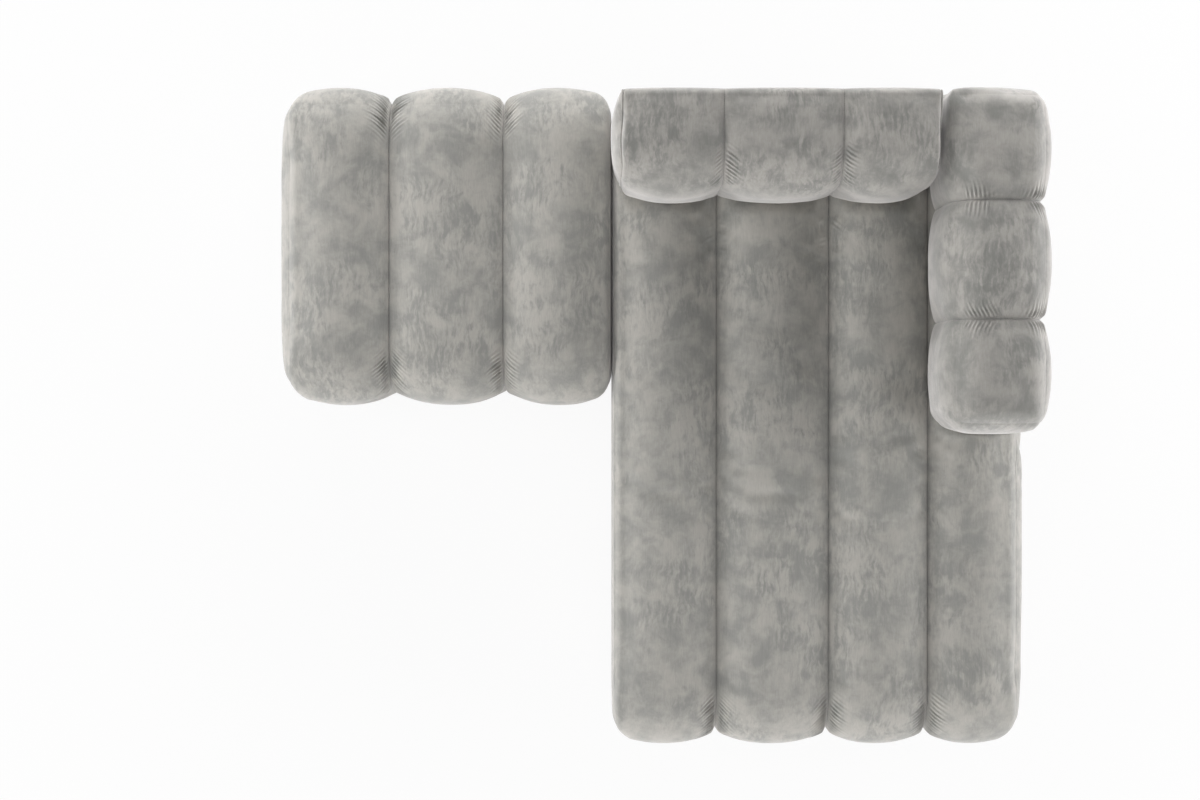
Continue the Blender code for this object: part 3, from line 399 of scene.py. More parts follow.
# %% Stations and the merged grid
LINE_SAMPLES = 600             # places at which a wished spacing is read
MERGE_GRID = 1e7               # points that agree to a tenth of a micrometre are one


def stations(anchors, spacing):
    """Places from the first anchor to the last, as close as spacing asks, with every anchor kept."""
    places = [anchors[0]]
    for start, stop in zip(anchors, anchors[1:]):
        line = np.linspace(start, stop, LINE_SAMPLES)
        density = 1.0 / spacing(line)
        count = np.concatenate([[0.0], np.cumsum((density[1:] + density[:-1]) / 2 * np.diff(line))])
        steps = max(1, math.ceil(count[-1]))
        places += list(np.interp(np.linspace(0.0, count[-1], steps + 1)[1:], count, line))
        places[-1] = stop
    return np.array(places)


def nearest(line, marks):
    """Distance from each place on a line to the nearest mark."""
    return np.min(np.abs(line[:, None] - np.array(marks)[None, :]), axis=1)


def box_grid(columns, rows, levels):
    """Merged points on the top and the walls of a box, its quads and the point numbers of each side."""
    sides = {}
    grid = {
        "top": (columns, rows, 2, levels[-1], False), "front": (columns, levels, 1, rows[0], False),
        "rear": (columns, levels, 1, rows[-1], True), "left": (rows, levels, 0, columns[0], True),
        "right": (rows, levels, 0, columns[-1], False)}
    points, quads, start = [], [], 0
    for name, (first, second, axis, level, flip) in grid.items():
        one, two = np.meshgrid(first, second, indexing="ij")
        flat = [one.ravel(), two.ravel()]
        flat.insert(axis, np.full(one.size, level))
        points.append(np.stack(flat, axis=1))
        number = start + np.arange(one.size).reshape(one.shape)
        sides[name] = number
        around = [number[:-1, :-1], number[1:, :-1], number[1:, 1:], number[:-1, 1:]]
        quads.append(np.stack([part.ravel() for part in (around[::-1] if flip else around)], axis=1))
        start += one.size
    points = np.concatenate(points)
    whole = np.round(points * MERGE_GRID).astype(np.int64)
    kept, merged = np.unique(whole, axis=0, return_index=True, return_inverse=True)[1:]
    merged = merged.ravel()
    sides = {name: merged[number] for name, number in sides.items()}
    return points[kept], merged[np.concatenate(quads)], sides


# Distances from a seam, a side, an end, the upper edge and the hem, and the spacings wished there
SEAM_SPACING = (0, 0.006, 0.030, 0.045, 0.110), (0.0012, 0.0018, 0.0018, 0.0028, 0.012)
SIDE_SPACING = (0, 0.06, 0.12), (0.005, 0.007, 0.012)
END_SPACING = (0, 0.12, 0.16, 0.26), (0.0021, 0.0021, 0.0028, 0.013)
UPPER_SPACING = (0, 0.10, 0.18), (0.0019, 0.0023, 0.016)
HEM_SPACING = (0, HEM_EDGE, 0.06), (0.002, 0.004, 0.016)
# Stretches of the seats away from their ends that need close rows for the folds there, along own Y
CREASED = {"chaise": ((0.400, 0.560), (-0.290, -0.050))}
CREASED_SPACING = 0.0032


def fine_stations(name, quilt):
    """Stations of a finished cover: close by the seams, the edges and the gathered ends."""
    low, high = quilt.core_low, quilt.core_high

    def columns(line):
        return np.minimum(np.interp(nearest(line, quilt.seams), *SEAM_SPACING),
                          np.interp(nearest(line, (low[0], high[0])), *SIDE_SPACING))

    def rows(line):
        spacing = np.interp(nearest(line, (low[1], high[1])), *END_SPACING)
        for start, stop in CREASED.get(name, ()):
            spacing = np.where((line > start) & (line < stop), CREASED_SPACING, spacing)
        return spacing

    def levels(line):
        return np.minimum(np.interp(high[2] - line, *UPPER_SPACING),
                          np.interp(line - low[2], *HEM_SPACING))

    return (stations((low[0], *quilt.seams, high[0]), columns), stations((low[1], high[1]), rows),
            stations((low[2], low[2] + HEM_EDGE, high[2]), levels))


for name, quilt in QUILTS.items():
    print(name, "stations:", [len(part) for part in fine_stations(name, quilt)])

# %% [markdown]
# ## Stuffing by simulation
#
# A rule alone gives every channel the same swell, and real wadding never lies that evenly. A coarse copy
# of each cover is blown up as cloth with a little pressure and no gravity. Its seams, its hem, what
# a bolster presses down and the walls that lean on a neighbour are pinned, as they are on the real
# thing. Only the movement is kept: it is capped, read at the fine grid's points and smoothed there, so
# the fine seams stay crisp.

# %% Cloth that swells between its seams
SIM_STEP = 0.024               # spacing of the simulated cloth
SIM_FRAMES = 20
SWELL_CAP = 0.012              # farthest that the stuffing may push a point
SPREAD_ROUNDS = 14             # of smoothing on the fine grid
TOUCH = 1e-6                   # closer than this counts as touching
CLOTH_SETTINGS = {
    "quality": 6, "mass": 0.3, "tension_stiffness": 12.0, "compression_stiffness": 12.0,
    "shear_stiffness": 4.0, "bending_stiffness": 0.4, "air_damping": 6.0,
    "shrink_min": -0.012,      # a little spare cloth, so that it ripples beside the seams
    "vertex_group_mass": "sewn", "use_pressure": True, "uniform_pressure_force": 3.0}


def plain_mesh(name, points, faces, edges=()):
    """Mesh of points with faces or edges."""
    mesh = bpy.data.meshes.new(name)
    mesh.from_pydata(np.asarray(points).tolist(), list(edges), list(faces))
    return mesh


def add_object(name, data):
    """New object in the scene."""
    thing = bpy.data.objects.new(name, data)
    bpy.context.scene.collection.objects.link(thing)
    return thing


def blow_up(name, points, quads, pinned):
    """Movement of a pinned cloth under pressure, for each of its points."""
    mesh = plain_mesh(f"{name}_stuffing", points, quads.tolist())
    cloth = add_object(mesh.name, mesh)
    sewn = cloth.vertex_groups.new(name="sewn")
    sewn.add(np.flatnonzero(pinned).tolist(), 1.0, "REPLACE")
    physics = cloth.modifiers.new("Cloth", "CLOTH")
    physics.point_cache.frame_start, physics.point_cache.frame_end = 1, SIM_FRAMES
    for setting, value in CLOTH_SETTINGS.items():
        setattr(physics.settings, setting, value)
    physics.settings.effector_weights.gravity = 0.0
    scene = bpy.context.scene
    for step in range(1, SIM_FRAMES + 1):
        scene.frame_set(step)
    shaped = cloth.evaluated_get(bpy.context.evaluated_depsgraph_get()).data
    ends = np.empty(len(points) * 3)
    shaped.vertices.foreach_get("co", ends)
    bpy.data.objects.remove(cloth)
    bpy.data.meshes.remove(mesh)
    scene.frame_set(1)
    return ends.reshape(-1, 3) - points


def reading(coarse, fine):
    """Matrix that reads values on coarse stations at fine ones."""
    index = np.clip(np.searchsorted(coarse, fine) - 1, 0, len(coarse) - 2)
    share = (fine - coarse[index]) / (coarse[index + 1] - coarse[index])
    matrix = np.zeros((len(fine), len(coarse)))
    matrix[np.arange(len(fine)), index] = 1.0 - share
    matrix[np.arange(len(fine)), index + 1] = share
    return matrix


def spread_evenly(values, quads, rounds):
    """Smooth values over the neighbours in a grid."""
    ends = np.concatenate([quads[:, [corner, (corner + 1) % 4]] for corner in range(4)])
    count = np.bincount(ends.ravel(), minlength=len(values))
    for _ in range(rounds):
        total = np.stack([
            np.bincount(ends[:, 0], values[ends[:, 1], axis], len(values))
            + np.bincount(ends[:, 1], values[ends[:, 0], axis], len(values)) for axis in range(3)], axis=1)
        values = (values + total / count[:, None]) / 2
    return values


def pinned_points(quilt, points):
    """Which points don't swell: seams, hem, pressed areas and walls that lean on something."""
    low, high = quilt.core_low, quilt.core_high
    pinned = (nearest(points[:, 0], quilt.seams) < TOUCH) | (points[:, 2] < low[2] + HEM_EDGE + TOUCH)
    for first_x, last_x, front, _ in quilt.presses:
        pinned |= (points[:, 0] > first_x) & (points[:, 0] < last_x) & (points[:, 1] > front)
    for axis, end, start, stop in quilt.held:
        wall = np.abs(points[:, axis] - (low, high)[end][axis]) < TOUCH
        pinned |= wall & (points[:, 1 - axis] > start) & (points[:, 1 - axis] < stop)
    return pinned


def stuffing(name, quilt, fine, quads, sides):
    """Movement that the wadding gives the points of a fine grid."""
    low, high = quilt.core_low, quilt.core_high
    coarse = [stations(marks, lambda line: np.full(len(line), SIM_STEP)) for marks in (
        (low[0], *quilt.seams, high[0]), (low[1], high[1]), (low[2], low[2] + HEM_EDGE, high[2]))]
    points, coarse_quads, coarse_sides = box_grid(*coarse)
    moved = blow_up(name, quilt.stuff(points), coarse_quads, pinned_points(quilt, points))
    far = np.linalg.norm(moved, axis=1)
    moved *= (SWELL_CAP * np.tanh(far / SWELL_CAP) / np.maximum(far, NO_ZERO))[:, None]
    result = np.zeros((quads.max() + 1, 3))
    axes = {"top": (0, 1), "front": (0, 2), "rear": (0, 2), "left": (1, 2), "right": (1, 2)}
    for side, (first, second) in axes.items():
        values = moved[coarse_sides[side]]
        one, two = reading(coarse[first], fine[first]), reading(coarse[second], fine[second])
        result[sides[side].ravel()] = np.einsum("ai,ijk,bj->abk", one, values, two).reshape(-1, 3)
    print(name, "stuffing moves", len(points), "points by", round(float(far.max()) * 1000, 1), "mm at most")
    return spread_evenly(result, quads, SPREAD_ROUNDS)


# %% [markdown]
# ## Gathers
#
# Where a channel turns over its end, the seam is shorter than the cloth beside it, so the spare cloth is
# drawn into small folds that run out from the seam and lean towards the end. Pinned cloth would
# need millimetre cells to find them. They are laid on as a height instead: a wave along the
# seam, slanted, each fold with a height and a length of its own from a seeded table.

# %% Folds along the seams
@dataclass
class Gather:
    """A run of small folds beside the seams."""

    end: str                   # the end that its places are measured from, "front" or "rear"
    start: float               # where it starts and stops along the cloth, from the upper edge inwards
    stop: float
    spacing: float = 0.0125
    slant: float = 0.8         # lean towards that end
    reach: float = 0.034
    height: float = 0.0098
    chance: float = 1.0        # share of the folds that are there
    seams: tuple = (0, 1, 2)
    flanks: tuple = (1.0, 0.75)        # strength on the left and on the right of a seam


FOLD_TABLE = 64                # folds with sizes of their own in one run
FOLD_FLOOR = 0.3               # how far the cloth between two folds lies below the unfolded form
FOLD_CREST = 1.3               # over one narrows the folds' crests
SWAY_ASIDE = 0.30, 0.016       # how far the folds wander, in folds, and over what length
SWAY_ALONG = 0.20, 0.027
FADE_IN, FADE_OUT = 0.15, 0.45         # shares of a run over which its folds grow and die away
SEAM_REST, SEAM_RISE = 0.0015, 0.016   # flat beside the seam, then the rise to full height
RUN_SAMPLES = 1500             # places along the cloth at which its length is measured
FAR_END = 0.004                # left without folds at the other end of a channel


def run_of_folds(gather, along, aside, rng):
    """Height of one run of folds, at distances along a seam and aside from it."""
    shift, wobble = rng.uniform(0, 6, 2)
    size = rng.uniform(0.5, 1.0, FOLD_TABLE) * (rng.uniform(0, 1, FOLD_TABLE) < gather.chance)
    length = rng.uniform(0.65, 1.25, FOLD_TABLE)
    phase = (along + gather.slant * aside - gather.start) / gather.spacing + shift
    phase = phase + SWAY_ASIDE[0] * np.sin(aside / SWAY_ASIDE[1] + wobble)
    phase = phase + SWAY_ALONG[0] * np.sin(along / SWAY_ALONG[1] + 2 * wobble)
    fold = np.floor(phase).astype(int) % FOLD_TABLE
    wave = (0.5 - 0.5 * np.cos(2 * math.pi * phase)) ** FOLD_CREST - FOLD_FLOOR
    run = gather.stop - gather.start
    window = smooth((along - gather.start) / (FADE_IN * run))
    window = window * smooth((gather.stop - along) / (FADE_OUT * run))
    window = window * smooth((aside - SEAM_REST) / SEAM_RISE)
    window = window * np.exp(-(aside / (gather.reach * length[fold])) ** 2)
    return gather.height * size[fold] * wave * window


def cloth_run(quilt, x, end):
    """Table from places on the core box, down the wall negative, to lengths along the rounded cloth."""
    low, high = quilt.core_low, quilt.core_high
    marks = np.linspace(low[2] + HEM_EDGE - high[2], high[1] - low[1], RUN_SAMPLES)
    inward = np.maximum(marks, 0.0)
    line = np.stack([np.full(len(marks), x), low[1] + inward if end == "front" else high[1] - inward,
                     high[2] + np.minimum(marks, 0.0)], axis=1)
    place = quilt.rounded(line)[0]
    run = np.concatenate([[0.0], np.cumsum(np.linalg.norm(np.diff(place, axis=0), axis=1))])
    return marks, run - np.interp(0.0, marks, run)


def fold_height(quilt, points, gathers, seed):
    """Height of the folds at each point of the core box."""
    rng = np.random.default_rng(seed)
    low, high = quilt.core_low, quilt.core_high
    height = np.zeros(len(points))
    drop = high[2] - points[:, 2]
    for gather in gathers:
        inward = points[:, 1] - low[1] if gather.end == "front" else high[1] - points[:, 1]
        for number in gather.seams[:len(quilt.seams)]:
            along = np.interp(inward - drop, *cloth_run(quilt, quilt.seams[number], gather.end))
            for flank, strength in zip((-1, 1), gather.flanks):
                aside = (points[:, 0] - quilt.seams[number]) * flank
                near = (aside >= 0) & (aside < 3 * gather.reach)
                near &= (along > gather.start) & (along < gather.stop)
                near &= inward < (high - low)[1] - FAR_END
                height[near] += strength * run_of_folds(gather, along[near], aside[near], rng)
    return height


SEAT_GATHERS = (
    Gather("front", -0.100, 0.130),
    Gather("rear", -0.100, 0.130),
    Gather("front", 0.110, 1.400, spacing=0.034, slant=0.2, reach=0.020, height=0.0008, chance=0.35))
GATHERS = {
    "chaise": SEAT_GATHERS + (
        Gather("rear", 0.340, 0.460, spacing=0.015, slant=-0.6, reach=0.022, height=0.0040, chance=0.6,
               seams=(0, 1), flanks=(0.5, 1.0)),
        Gather("rear", 0.950, 1.170, spacing=0.021, slant=0.25, reach=0.050, height=0.0014, chance=0.6,
               seams=(2,), flanks=(1.0, 0.0))),
    "pouf": SEAT_GATHERS,
    "back": (
        Gather("front", -0.050, 0.105, spacing=0.0120, slant=0.6, reach=0.028, height=0.0085,
               flanks=(0.6, 1.0)),
        Gather("rear", 0.000, 0.080, spacing=0.0120, slant=0.3, reach=0.016, height=0.0012, chance=0.7)),
    "arm": (
        Gather("front", 0.015, 0.130, spacing=0.0115, slant=0.35, reach=0.028, height=0.0090,
               flanks=(1.0, 0.8)),
        Gather("rear", -0.045, 0.085, spacing=0.0112, slant=0.35, reach=0.030, height=0.0090,
               flanks=(1.0, 0.8)),
        Gather("front", 0.090, 0.200, spacing=0.020, slant=0.1, reach=0.018, height=0.0014, chance=0.5)),
}
print("gathers on", ", ".join(GATHERS))

# %% [markdown]
# ## Sewing a cover together
#
# The skin is closed below: a flat hem runs in to the case, the hollow that the foam and the frame fill,
# and the case gets plain walls and a ceiling. That makes each cover one closed shell with its wadding,
# as the CAD solid is. The hollow's size comes from the nodes that fill it. The finished places
# along the seams and the ends' edges are kept, because the thread and the piping follow them.


# %% Skin, hem and case of a cover
SKIN_SHARP, PART_SHARP = 70, 40        # degrees: edges over these stay sharp on cloth and on hard parts


def new_piece(name, mesh, material):
    """Object for a finished mesh, in the scene and with one material."""
    mesh.materials.clear()
    mesh.materials.append(material)
    return add_object(name, mesh)


def clean_up(mesh, sharp=PART_SHARP):
    """Merge doubles, turn the faces outwards and shade a mesh smooth, with edges over an angle sharp."""
    shape = bmesh.new()
    shape.from_mesh(mesh)
    bmesh.ops.remove_doubles(shape, verts=shape.verts, dist=TOUCH)
    bmesh.ops.recalc_face_normals(shape, faces=shape.faces)
    shape.to_mesh(mesh)
    shape.free()
    mesh.shade_smooth()
    mesh.set_sharp_from_angle(angle=math.radians(sharp))


def skin_of(name, quilt, seed):
    """Places, quads and sides of the stuffed and gathered skin, and the way that each point faces."""
    fine = fine_stations(name, quilt)
    points, quads, sides = box_grid(*fine)
    place = quilt.stuff(points)
    place = place + stuffing(name, quilt, fine, quads, sides)
    place = quilt.to_lounge(place)
    mesh = plain_mesh(f"{name}_skin", place, quads.tolist())
    facing = np.empty(len(place) * 3)
    mesh.vertex_normals.foreach_get("vector", facing)
    bpy.data.meshes.remove(mesh)
    facing = facing.reshape(-1, 3)
    place += facing * fold_height(quilt, points, GATHERS[name], seed)[:, None]
    place[place[:, 2] < quilt.low[2] + TOUCH, 2] = quilt.low[2]
    return place, facing, quads, sides, fine


def line_over(column, sides):
    """Point numbers up the front, over the top and down the rear, in one column of the grid."""
    return np.concatenate([sides["front"][column], sides["top"][column, 1:-1], sides["rear"][column, ::-1]])


def sew(name, quilt, case_low, case_high, seed):
    """Closed mesh of a cover, stuffed and gathered, and the lines that thread and piping follow."""
    place, facing, quads, sides, fine = skin_of(name, quilt, seed)
    # Inner corners of the hem, and above them the corners of the case, in the order of the skin's corners
    case = np.stack([case_low, case_high])
    corners = [(0, 0), (1, 0), (1, 1), (0, 1)]
    if quilt.turned:
        inner = [(case[j, 0], case[1 - i, 1]) for i, j in corners]
    else:
        inner = [(case[i, 0], case[j, 1]) for i, j in corners]
    start = len(place)
    lower = [(*corner, quilt.low[2]) for corner in inner]
    upper = [(*corner, case_high[2]) for corner in inner]
    runs = [sides["front"][:, 0], sides["right"][:, 0], sides["rear"][::-1, 0], sides["left"][::-1, 0]]
    faces = quads.tolist()
    for number, run in enumerate(runs):
        after = (number + 1) % 4
        faces.append([*run.tolist(), start + after, start + number])
        faces.append([start + number, start + after, start + 4 + after, start + 4 + number])
    faces.append([start + 4, start + 5, start + 6, start + 7])
    mesh = plain_mesh(f"{name}_velvet_cover", [*place.tolist(), *lower, *upper], faces)
    clean_up(mesh, SKIN_SHARP)
    lines = {f"seam_{number}": line_over(int(np.argmin(np.abs(fine[0] - seam))), sides)
             for number, seam in enumerate(quilt.seams)}
    lines |= {"left": line_over(0, sides), "right": line_over(-1, sides)}
    return mesh, {key: (place[line], facing[line]) for key, line in lines.items()}


def case_of(name):
    """Corners of the hollow in a cover, just clear of what fills it."""
    inside = ("foam",) if name in ("chaise", "pouf") else ("base_board", "upright_board")
    lows, highs = zip(*(corners_of(f"{name}_{part}") for part in inside))
    return np.min(lows, axis=0) - CLEAR, np.max(highs, axis=0) + CLEAR


COVERS, LINES = {}, {}
for seed, (name, quilt) in enumerate(QUILTS.items(), start=11):
    skin, LINES[name] = sew(name, quilt, *case_of(name), seed)
    # The bolsters' covers take the velvet whose darker base colour is painted shade
    COVERS[name] = new_piece(skin.name, skin, BOLSTER_VELVET_PAINTED_SHADE if name in ("back", "arm") else VELVET)
    print(name, "cover has", len(skin.polygons), "faces")

# %% [markdown]
# ## Slots for the tongues
#
# The backrest and the armrest each plug into the chaise with two steel tongues, which pass through slots
# in its cover. The slots could be left out, since the bolsters hide them, but they show as soon as a
# bolster is lifted off. Boxes a little larger than the tongues are cut out of the cover, and each slot
# gets a moulded liner: a thin flange flush with the cloth and a sleeve down through the wadding.

# %% Cut the slots into the chaise's cover
SLOT_PLAY = 0.0035             # from a tongue to the cloth
SLOT_BELOW, SLOT_ABOVE = 0.004, 0.05   # how far a cut runs past the case's ceiling and the seat
TONGUES = [f"{name}_tongue_{number}" for name in ("back", "arm") for number in (1, 2)]


def add_box(shape, low, high):
    """Add a plain box to a bmesh."""
    grown = bmesh.ops.create_cube(shape, size=1.0)["verts"]
    bmesh.ops.scale(shape, vec=high - low, verts=grown)
    bmesh.ops.translate(shape, vec=(high + low) / 2, verts=grown)


def mesh_of(shape, name):
    """Mesh of a bmesh, which is freed."""
    mesh = bpy.data.meshes.new(name)
    shape.to_mesh(mesh)
    shape.free()
    return mesh


def evaluated_mesh(thing):
    """Plain mesh of an object with its modifiers. The object is removed."""
    mesh = bpy.data.meshes.new_from_object(thing.evaluated_get(bpy.context.evaluated_depsgraph_get()))
    bpy.data.objects.remove(thing)
    return mesh


def cut_boxes(mesh, boxes):
    """Mesh with boxes cut out of it."""
    shape = bmesh.new()
    for low, high in boxes:
        add_box(shape, low, high)
    tool = add_object("slot_tool", mesh_of(shape, "slot_tool"))
    piece = add_object("slot_work", mesh)
    knife = piece.modifiers.new("Slots", "BOOLEAN")
    knife.operation, knife.solver, knife.object = "DIFFERENCE", "EXACT", tool
    result = evaluated_mesh(piece)
    bpy.data.objects.remove(tool)
    return result


def slot_box(tongue, play, low, high):
    """Upright box round a tongue."""
    first, last = corners_of(tongue)
    return np.array([*first[:2] - play, low]), np.array([*last[:2] + play, high])


case_top = case_of("chaise")[1][2]
seat_top = chaise_low[2] + pressed
slots = [slot_box(tongue, SLOT_PLAY, case_top - SLOT_BELOW, seat_top + SLOT_ABOVE) for tongue in TONGUES]
slotted = cut_boxes(COVERS["chaise"].data, slots)
slotted.name = COVERS["chaise"].data.name + "_slotted"
COVERS["chaise"].data = slotted
clean_up(slotted, SKIN_SHARP)
print("cut", len(slots), "slots; the chaise cover has", len(slotted.polygons), "faces")

for name, cover in COVERS.items():
    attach(cover, BODIES[name])
    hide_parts(f"{name}_cover")

# %% [markdown]
# ## Trees that set rows of small things
#
# Thread, piping, staples, screws and spring clips repeat many times or follow a line. They could be copied
# in a loop. Geometry nodes do it in a few nodes and keep each size as a named input: one tree sets a shape at
# every step of a path, one sets it on single points, and one draws a round cord along a path. Every point
# carries the way that its surface faces, so that a shape stands upright on it.


# %% Geometry trees for rows, points and cords
def new_tree(name, sockets):
    """Geometry tree with a finish and other named inputs. Returns it and its input node."""
    tree = bpy.data.node_groups.new(name, "GeometryNodeTree")
    tree.interface.new_socket("Geometry", in_out="OUTPUT", socket_type="NodeSocketGeometry")
    for label, kind in {"Geometry": "Geometry", "Finish": "Material", **sockets}.items():
        tree.interface.new_socket(label, in_out="INPUT", socket_type=f"NodeSocket{kind}")
    return tree, add_node(tree, "NodeGroupInput")


def close_tree(tree, given, geometry):
    """End a tree in real geometry with one finish."""
    real = add_node(tree, "GeometryNodeRealizeInstances", {"Geometry": geometry})
    done = add_node(tree, "GeometryNodeSetMaterial", {
        "Geometry": real.outputs[0], "Material": given.outputs["Finish"]})
    add_node(tree, "NodeGroupOutput", {"Geometry": done.outputs[0]})


def stand_shapes(tree, given, points, along):
    """Set the given shape on points, its X along the row and its Z the way that the surface faces."""
    facing = add_node(tree, "GeometryNodeInputNamedAttribute", {"Name": "facing"}, data_type="FLOAT_VECTOR")
    turn = add_node(tree, "FunctionNodeAlignRotationToVector", {"Vector": along}, axis="X")
    turn = add_node(tree, "FunctionNodeAlignRotationToVector", {
        "Rotation": turn.outputs[0], "Vector": facing.outputs["Attribute"]}, axis="Z", pivot_axis="X")
    shape = add_node(tree, "GeometryNodeObjectInfo", {"Object": given.outputs["Shape"]})
    row = add_node(tree, "GeometryNodeInstanceOnPoints", {
        "Points": points, "Instance": shape.outputs["Geometry"], "Rotation": turn.outputs[0]})
    close_tree(tree, given, row.outputs[0])


ROW_TREE, given = new_tree("shapes_along_a_path", {"Shape": "Object", "Pitch": "Float"})
path = add_node(ROW_TREE, "GeometryNodeMeshToCurve", {"Mesh": given.outputs["Geometry"]})
steps = add_node(ROW_TREE, "GeometryNodeResampleCurve", {
    "Curve": path.outputs[0], "Length": given.outputs["Pitch"]}, mode="LENGTH")
stand_shapes(ROW_TREE, given, steps.outputs[0], add_node(ROW_TREE, "GeometryNodeInputTangent").outputs[0])

POINT_TREE, given = new_tree("shapes_on_points", {"Shape": "Object"})
along = add_node(POINT_TREE, "GeometryNodeInputNamedAttribute", {"Name": "along"}, data_type="FLOAT_VECTOR")
stand_shapes(POINT_TREE, given, given.outputs["Geometry"], along.outputs["Attribute"])

CORD_TREE, given = new_tree("cord_along_a_path", {"Radius": "Float", "Step": "Float"})
path = add_node(CORD_TREE, "GeometryNodeMeshToCurve", {"Mesh": given.outputs["Geometry"]})
steps = add_node(CORD_TREE, "GeometryNodeResampleCurve", {
    "Curve": path.outputs[0], "Length": given.outputs["Step"]}, mode="LENGTH")
ring = add_node(CORD_TREE, "GeometryNodeCurvePrimitiveCircle", {
    "Resolution": 10, "Radius": given.outputs["Radius"]})
cord = add_node(CORD_TREE, "GeometryNodeCurveToMesh", {
    "Curve": steps.outputs[0], "Profile Curve": ring.outputs[0], "Fill Caps": True})
close_tree(CORD_TREE, given, cord.outputs[0])


# %% Run a tree on marked paths or points
def marked_mesh(runs, along=None):
    """Mesh of paths, or of single points that carry a direction, with the way that each point faces."""
    places, facings = (np.concatenate(part) for part in zip(*runs))
    edges, start = [], 0
    for place, _ in runs:
        if along is None:
            edges += [(start + step, start + step + 1) for step in range(len(place) - 1)]
        start += len(place)
    mesh = plain_mesh("marks", places, [], edges)
    for label, values in (("facing", facings), ("along", along)):
        if values is not None:
            attribute = mesh.attributes.new(label, "FLOAT_VECTOR", "POINT")
            attribute.data.foreach_set("vector", np.ravel(values))
    return mesh


def shape_object(name, vertices, faces):
    """Small shape for a tree to repeat, not shown by itself."""
    mesh = plain_mesh(name, vertices, faces)
    clean_up(mesh)
    return add_object(name, mesh)


def add_small(name, tree, marks, values, body):
    """Piece that a tree makes of marks, as a plain mesh on its body and with its slot."""
    carrier = add_object(name, marks)
    modifier = carrier.modifiers.new("Tree", "NODES")
    modifier.node_group = tree
    for socket in tree.interface.items_tree:
        if socket.in_out == "INPUT" and socket.name in values:
            modifier[socket.identifier] = values[socket.name]
    mesh = evaluated_mesh(carrier)
    mesh.name = name
    bpy.data.meshes.remove(marks)
    clean_up(mesh)
    piece = new_piece(name, mesh, values["Finish"])
    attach(piece, body)
    print(name, "has", len(mesh.polygons), "faces")


print("trees:", ROW_TREE.name, POINT_TREE.name, CORD_TREE.name)

# %% [markdown]
# ## Seam thread and piping
#
# The channels are sewn through with a strong thread that lies at the bottom of each crease, and the end
# panels of the backrest meet its long panel in a piped seam: a cord in a sleeve of the same velvet. A row
# of stretched beads, one for each stitch, follows the creases, and a round cord follows the edges of
# the end panels. Both take their lines from the finished covers, so they stay on the cloth wherever
# it swelled.


# %% Thread in the creases
def make_thread():
    """Twisted polyester thread, dyed to the cloth: a little darker and glossier than the pile."""
    material, tree, shader = new_finish("twisted_polyester_thread", {
        "Roughness": 0.5, "Specular IOR Level": 0.4, "Sheen Weight": 0.2})
    place = add_node(tree, "ShaderNodeTexCoord").outputs["Object"]
    # Plies of the twist, about 0.4 mm apart
    twist = add_node(tree, "ShaderNodeTexWave", {"Vector": place, "Scale": 1 / 0.0025, "Distortion": 2.0},
                     bands_direction="DIAGONAL")
    colour = add_node(tree, "ShaderNodeMix", {
        "Factor": twist.outputs["Fac"], FIRST_COLOUR: linear("#62625F"), SECOND_COLOUR: linear("#7F7E7A")},
        data_type="RGBA")
    tree.links.new(colour.outputs[MIXED_COLOUR], shader.inputs["Base Color"])
    ply = add_node(tree, "ShaderNodeBump", {
        "Height": twist.outputs["Fac"], "Strength": 0.4, "Distance": 0.0002})
    tree.links.new(ply.outputs[0], shader.inputs["Normal"])
    return material


THREAD = make_thread()
STITCH_PITCH = 0.0045
STITCH = (0.0018, 0.00045, 0.00045)    # half length, half width and half height of one stitch
STITCH_SIDES = 6
THREAD_LIFT = 0.0003           # from the bottom of the crease to the middle of the thread


def ring_faces(count, sides):
    """Quads between rings of points that follow each other."""
    return [(ring * sides + side, ring * sides + (side + 1) % sides,
             (ring + 1) * sides + (side + 1) % sides, (ring + 1) * sides + side)
            for ring in range(count - 1) for side in range(sides)]


def bead():
    """Stretched bead, one stitch."""
    rings = [(-1.0, 0.0), (-0.7, 0.75), (0.0, 1.0), (0.7, 0.75), (1.0, 0.0)]
    turns = [2 * math.pi * side / STITCH_SIDES for side in range(STITCH_SIDES)]
    vertices = [(STITCH[0] * reach, STITCH[1] * girth * math.cos(turn), STITCH[2] * girth * math.sin(turn))
                for reach, girth in rings for turn in turns]
    return shape_object("stitch", vertices, ring_faces(len(rings), STITCH_SIDES))


def above_hem(name, key, proud):
    """Part of a kept line that lies above the hem, lifted off the cloth."""
    place, facing = LINES[name][key]
    shown = place[:, 2] > QUILTS[name].low[2] + HEM_EDGE
    return place[shown] + facing[shown] * proud, facing[shown]


stitch = bead()
for name, quilt in QUILTS.items():
    runs = [above_hem(name, f"seam_{number}", THREAD_LIFT) for number in range(len(quilt.seams))]
    add_small(f"{name}_seam_thread", ROW_TREE, marked_mesh(runs), {
        "Shape": stitch, "Pitch": STITCH_PITCH, "Finish": THREAD}, BODIES[name])
bpy.data.objects.remove(stitch)

# %% Piping round the backrest's end panels
PIPING_RADIUS, PIPING_LIFT, PIPING_STEP = 0.0028, 0.0010, 0.004
runs = [above_hem("back", key, PIPING_LIFT) for key in ("left", "right")]
# The piping takes the bolsters' velvet, whose darker base colour is painted shade
add_small("back_piping", CORD_TREE, marked_mesh(runs), {
    "Radius": PIPING_RADIUS, "Step": PIPING_STEP, "Finish": BOLSTER_VELVET_PAINTED_SHADE}, "backrest")

# %% [markdown]
# ## Finishes of the inner parts
#
# Under the velvet is an honest upholsterer's frame: planed pine rails, plywood boards in the bolsters, wire
# springs, zinc-plated fittings and moulded plastic feet. Each could be one flat colour, but a lifted bolster
# or a view from below would show it. Every finish is built from what the material is: growth rings for pine,
# glued plies for plywood, drawn lines for wire, crystals for zinc.


